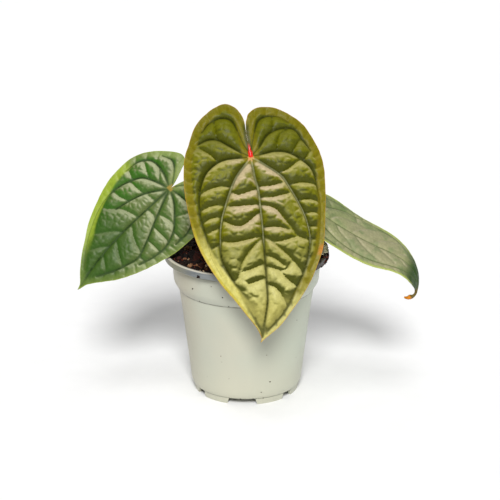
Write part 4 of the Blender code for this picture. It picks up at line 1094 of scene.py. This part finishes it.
def bark_chips(heap):
    """The bark chips of the part's source, at the same places, as rough bark."""
    rng = random.Random(5)
    chip = ball(3, 0.7)
    edge = inner_radius(SOIL_EDGE_Z) - SOIL_CLEARANCE
    for i in range(CHIP_COUNT):
        angle = rng.uniform(0.1 * math.pi, 1.8 * math.pi)
        x, y, _ = polar(rng.uniform(0.018, edge - 0.010), angle)
        size = (rng.uniform(0.006, 0.011), rng.uniform(0.004, 0.007), rng.uniform(0.0025, 0.0040))
        tilt = (rng.uniform(-0.5, 0.5), rng.uniform(-0.4, 0.4), rng.uniform(0.0, 3.1))
        about_x, about_y, about_z = (Matrix.Rotation(a, 3, axis) for a, axis in zip(tilt, "XYZ"))
        turn = (about_z @ about_y @ about_x).to_quaternion()
        tint = (0.56, 0.30, 0.50, 0.42)[i % 4]
        half = [0.52 * s for s in size]
        heap.add_lump(chip, (x, y, soil_height(x, y) + 0.0002), half, turn, i, 0.45, tint)


def dress_chips():
    """Bark chips and crumbs of all sizes over the soil, in one piece."""
    heap = Heap()
    bark_chips(heap)
    rng = random.Random(21)
    chip, stone, crumb = ball(2, 0.75), ball(2), ball(1)
    reach = inner_radius(SOIL_EDGE_Z) - 0.0022
    stem_room, clump_room = 0.0105, 0.010
    for i in range(CRUMB_COUNT):
        distance = reach * math.sqrt(rng.random())
        x, y, _ = polar(distance, rng.uniform(0.0, 2.0 * math.pi))
        from_clump = math.hypot(x - CLUMP_CENTRE[0], y - CLUMP_CENTRE[1])
        if distance < stem_room or from_clump < clump_room:
            continue
        big = rng.random() ** 3.5
        size = 0.00040 + 0.0017 * big
        flatness = rng.uniform(0.35, 0.8)
        tint = rng.random() ** 2.4
        half = (size, size * rng.uniform(0.4, 1.0), size * flatness)
        centre = (x, y, soil_height(x, y) + 0.30 * size)
        heap.add_lump(chip if big > 0.45 else crumb, centre, half, any_turn(rng), i * 0.37, 0.55, tint)
    for i, (x, y, size, tint) in enumerate(PALE_CRUMBS):
        x, y, size = x * MM, y * MM, size * MM
        centre = (x, y, soil_height(x, y) + 0.5 * size)
        heap.add_lump(stone, centre, (size, size * 0.75, size * 0.6), any_turn(rng), i * 1.7, 0.5, tint)
    heap.dress("soil_chips", None, "tint", soil_paint("soil_chips", 0.85))


def dress_crumbs():
    """Crumbs of mix that splashed on the pot and stuck, and grit on the right of its lip."""
    heap = Heap()
    rng = random.Random(4)
    stone, crumb = ball(2), ball(1)
    for i, (turn, height, size, tint) in enumerate(STUCK):
        z, size = height * MM, size * MM
        centre = polar(outer_radius(z) + 0.15 * size, math.radians(turn), z)
        heap.add_lump(stone, centre, (size, size * 0.8, size * 0.8), any_turn(rng), i * 1.3, 0.6, tint)
    for i in range(LIP_GRIT_COUNT):
        angle = math.radians(rng.gauss(-2.0, 9.0))
        rise = rng.random()
        z = POT_HEIGHT - LIP_HEIGHT * (1.0 - 1.1 * rise)
        size = rng.uniform(0.00025, 0.00085)
        radius = RIM_RADIUS + 0.0002 if rise < 0.85 else RIM_RADIUS - rng.uniform(0.0, LIP_WIDTH)
        centre = polar(radius, angle, min(z, POT_HEIGHT))
        tint = 0.25 if rng.random() < 0.75 else 0.70
        heap.add_lump(crumb, centre, (size, size * 0.8, size * 0.7), any_turn(rng), i * 0.7, 0.6, tint)
    heap.dress("pot_crumbs", None, "tint", soil_paint("pot_crumbs", 1.3))


def tube(line, radii, sides):
    """Points and faces of a closed tube along the line, with its ends capped."""
    line = np.array(line)
    ahead = np.gradient(line, axis=0)
    ahead /= np.linalg.norm(ahead, axis=1, keepdims=True)
    side = np.cross(ahead[0], (0.0, 1.0, 0.1))
    places, faces = [], []
    for k, (centre, forward, radius) in enumerate(zip(line, ahead, radii)):
        side = side - forward * (side @ forward)
        side /= np.linalg.norm(side)
        up = np.cross(forward, side)
        angle = np.arange(sides) * 2.0 * math.pi / sides
        places.append(centre + radius * (np.cos(angle)[:, None] * side + np.sin(angle)[:, None] * up))
        if k:
            low, high = (k - 1) * sides, k * sides
            around = [(i, (i + 1) % sides) for i in range(sides)]
            faces += [(low + i, low + j, high + j, high + i) for i, j in around]
    places = np.vstack(places + [line[:1], line[-1:]])
    first, last = len(places) - 2, len(places) - 1
    top = (len(line) - 1) * sides
    for i in range(sides):
        j = (i + 1) % sides
        faces += [(first, j, i), (last, top + i, top + j)]
    return places, faces


def dress_fibres():
    """Root and coir fibres that lie over the soil."""
    rng = random.Random(33)
    reach = inner_radius(SOIL_EDGE_Z) - 0.004
    stem_room = 0.0100
    steps = 8
    heap = Heap()
    for i in range(FIBRE_COUNT):
        distance = reach * math.sqrt(rng.uniform(0.05, 1.0))
        angle, heading = rng.uniform(0.0, 2.0 * math.pi), rng.uniform(0.0, 2.0 * math.pi)
        x, y, _ = polar(distance, angle)
        bend, length = rng.uniform(-140.0, 140.0), rng.uniform(0.004, 0.013)
        line = []
        for k in range(steps + 1):
            if stem_room < math.hypot(x, y) < reach:
                rise = 0.0006 + 0.0012 * math.sin(math.pi * k / steps) * rng.uniform(0.6, 1.0)
                line.append((x, y, soil_height(x, y) + rise))
            heading += bend * length / steps
            x += math.cos(heading) * length / steps
            y += math.sin(heading) * length / steps
        if len(line) < 4:
            continue
        radius = rng.uniform(0.00012, 0.00030)
        radii = [radius * (1.0 - 0.5 * k / len(line)) for k in range(len(line))]
        heap.add(*tube(line, radii, FIBRE_SIDES), rng.uniform(0.50, 0.88))
    heap.dress("soil_fibres", None, "tint", soil_paint("soil_fibres", 1.6))


# Stem and stalks

def dress_stem():
    """The short stem with its leaf scars as narrow rings."""
    profile, rings = [(0.0, STEM_TOP_Z)], [0.0]
    for share, drop in ((0.22, 0.0002), (0.42, 0.0009), (0.60, 0.0020), (0.76, 0.0036), (0.90, 0.0055)):
        profile.append((STEM_RADIUS * share, STEM_TOP_Z - drop))
        rings.append(0.0)
    z = STEM_TOP_Z - 0.0070
    while z > STEM_FOOT_Z + 0.0150:
        for wide, drop, dark in ((1.00, 0.0, 0.2), (0.985, 0.0005, 1.0), (0.90, 0.0011, 1.0),
                                 (0.92, 0.0019, 0.4), (0.96, 0.0031, 0.0)):
            profile.append((STEM_RADIUS * wide, z - drop))
            rings.append(dark)
        z -= 0.0045
    foot = [(0.9, 0.004), (0.7, 0.0), (0.0, 0.0)]
    profile += [(STEM_RADIUS * share, STEM_FOOT_Z + rise) for share, rise in foot]
    rings += [0.0] * len(foot)
    mesh = lathe("stem_bark", profile, STEM_STEPS)
    for vert in mesh.vertices:
        rough = 1.0 + 0.05 * noise.noise(vert.co * 500.0) + 0.03 * noise.noise(vert.co * 1200.0)
        vert.co.x *= rough
        vert.co.y *= rough
    heights = [z for _, z in profile][::-1]
    add_field(mesh, "ring", np.interp([v.co.z for v in mesh.vertices], heights, rings[::-1]))
    mesh.shade_smooth()
    add_piece("stem_bark", mesh, "stem", [stem_paint()])


def petiole_foot(petiole):
    """Where the petiole stands in the soil, beside the stem."""
    side = math.radians(petiole["side"])
    distance = STEM_RADIUS + PETIOLE_RADIUS + 1.5 * GAP
    return Vector((distance * math.cos(side), distance * math.sin(side), PETIOLE_FOOT_Z))


def dress_petiole(name, petiole, material):
    """A leaf stalk that swells where it joins its blade."""
    foot = petiole_foot(petiole)
    leaf = petiole["leaf"]
    seat = np.array([[0.0, 1.5]])
    surface = bend_leaf(leaf, seat, np.array([0.0]))[0]
    above = bend_leaf(leaf, seat, np.array([1.0]))[0]
    normal = Vector(above - surface).normalized()
    rise = Vector((0.0, 0.0, 1.0))
    arrive = (normal * 0.75 + rise * 0.45).normalized()
    end = Vector(surface) - normal * (0.6 * BLADE)
    before = end - arrive * petiole["arrive"] * MM
    route = [foot, foot + rise * 0.008, foot + rise * 0.016]
    route += [Vector(p) * MM for p in petiole["through"]] + [before, end]
    spacing = 0.0012
    line = smooth_line([tuple(p) for p in route], spacing)
    left_over = spacing * (len(line) - 1 - np.arange(len(line)))
    swell_at = 0.45 * GENICULUM_LENGTH
    swelling = (GENICULUM_SWELL - 1.0) * np.exp(-((left_over - swell_at) / swell_at) ** 2)
    radii = PETIOLE_RADIUS * (1.0 + swelling) * (1.0 - 0.12 * np.exp(-left_over / 0.0015))
    along = np.append(np.repeat(np.linspace(0.0, 1.0, len(line)), STALK_SIDES), [0.0, 1.0])
    stalk = Heap()
    stalk.add(*tube(line, radii, STALK_SIDES), along)
    stalk.dress(name + "_stalk", name, "along", material)


# Clump of moss and grit

def clump_point(direction):
    """The clump's surface in a direction from its centre, held inside the pot's wall."""
    wall = inner_radius(POT_HEIGHT - LIP_HEIGHT) - 3.0 * GAP
    rough = 1.0 + 0.16 * noise.noise(direction * 2.4) + 0.08 * noise.noise(direction * 6.0)
    rough += 0.05 * noise.noise(direction * 13.0) + 0.03 * noise.noise(direction * 27.0)
    point = direction * Vector(CLUMP_SIZE) * rough + Vector(CLUMP_CENTRE)
    point.z = max(point.z, SOIL_EDGE_Z + SOIL_CLEARANCE)
    reach = math.hypot(point.x, point.y)
    limit = min(wall, inner_radius(point.z) - 3.0 * GAP)
    if point.z < POT_HEIGHT + 4.0 * GAP and reach > limit:
        point.x *= limit / reach
        point.y *= limit / reach
    return point


def dress_clump():
    """The clump's rough body, and the grit all over its top and sides."""
    shape, faces = ball(5)
    mesh = bpy.data.meshes.new("moss_body")
    mesh.from_pydata([tuple(clump_point(Vector(p))) for p in shape], [], [tuple(f) for f in faces])
    add_field(mesh, "tint", [0.3 + 0.35 * noise.noise(v.co * 500.0) for v in mesh.vertices])
    mesh.shade_smooth()
    paint = moss_paint()
    add_piece("moss_body", mesh, "moss_clump", [paint])
    heap = Heap()
    rng = random.Random(8)
    crumb = ball(1)
    for i in range(MOSS_GRIT_COUNT):
        direction = Vector((rng.gauss(0, 1), rng.gauss(0, 1), rng.gauss(0, 1))).normalized()
        if direction.z < -0.25:
            continue
        size = 0.0002 + 0.0006 * rng.random() ** 2
        half = (size, size * 0.8, size * 0.6)
        heap.add_lump(crumb, clump_point(direction), half, any_turn(rng), i * 0.21, 0.5, rng.random())
    heap.dress("moss_grit", None, "tint", paint)


# Room

def add_sun(name, height, spread, strength):
    """A wide, even light from the front, height degrees up."""
    light = bpy.data.lights.new(name, "SUN")
    light.angle = math.radians(spread)
    light.energy = strength
    add_object(name, light).rotation_euler = (math.radians(90.0 - height), 0.0, 0.0)


def make_room():
    """Floor, soft light and camera."""
    bm = bmesh.new()
    bmesh.ops.create_grid(bm, x_segments=2, y_segments=2, size=4.0)
    floor = add_object("floor", finish_mesh("floor", bm))
    paint = Paint("floor", (255, 255, 255), Roughness=0.9, Specular_IOR_Level=0.0)
    greys = [(0.90, 0.90, 0.90, 1.0), (0.92, 0.92, 0.92, 1.0)]
    colour = paint.mix(paint.step(paint.noise(paint.place(), 40.0), 0.3, 0.7), *greys)
    paint.tree.links.new(colour, paint.shader.inputs["Base Color"])
    floor.data.materials.append(paint.material)

    add_sun("key", 40.0, 19.0, 3.20)
    add_sun("top", 76.0, 24.0, 0.50)
    world = bpy.data.worlds.new("studio")
    world.use_nodes = True
    background = world.node_tree.nodes["Background"].inputs
    background["Color"].default_value = (1.0, 1.0, 1.0, 1.0)
    background["Strength"].default_value = 0.31

    lens = bpy.data.cameras.new("camera")
    lens.sensor_width = SENSOR_WIDTH
    lens.lens = FOCAL_PIXELS * SENSOR_WIDTH / PICTURE_WIDTH
    camera = add_object("camera", lens)
    camera.location = POT_AXIS + CAMERA_OFFSET
    camera.rotation_euler = (math.pi / 2.0 - CAMERA_TILT, 0.0, 0.0)
    scene = bpy.context.scene
    scene.world = world
    scene.camera = camera
    scene.view_settings.view_transform = "Standard"


def dress_leaves():
    """Each blade, with the paint of its face and of its underside."""
    face = leaf_paint("front_face", (104, 104, 2), FRONT_ZONES, 0.12, 0.40,
                      Coat_Roughness=0.32, Specular_IOR_Level=0.18)
    dress_leaf(FRONT_LEAF, [face, under_paint("front_back", (132, 116, 74), (150, 110, 72))])
    face = leaf_paint("left_face", (88, 102, 52), LEFT_ZONES, 0.10, 0.42,
                      Coat_Roughness=0.35, Specular_IOR_Level=0.22)
    dress_leaf(LEFT_LEAF, [face, under_paint("left_back", (124, 142, 96), (150, 160, 110))])
    face = leaf_paint("right_face", (138, 142, 98), RIGHT_ZONES, 0.09, 0.44,
                      Coat_Roughness=0.35, Specular_IOR_Level=0.22)
    dress_leaf(RIGHT_LEAF, [face, under_paint("right_back", (142, 156, 112), (160, 168, 118))])


def dress_petioles():
    """The young leaf's stalk with its red top, and the two green ones of the old leaves."""
    young = stalk_paint("young_stalk", (120, 128, 60), (132, 104, 58), (176, 30, 16))
    old = stalk_paint("old_stalk", (112, 132, 62), (120, 146, 74), (150, 140, 66))
    for name, petiole in PETIOLES.items():
        dress_petiole(name, petiole, young if petiole["leaf"] is FRONT_LEAF else old)


make_room()
dress_pot()
dress_soil()
dress_chips()
dress_crumbs()
dress_fibres()
dress_stem()
dress_petioles()
dress_clump()
dress_leaves()
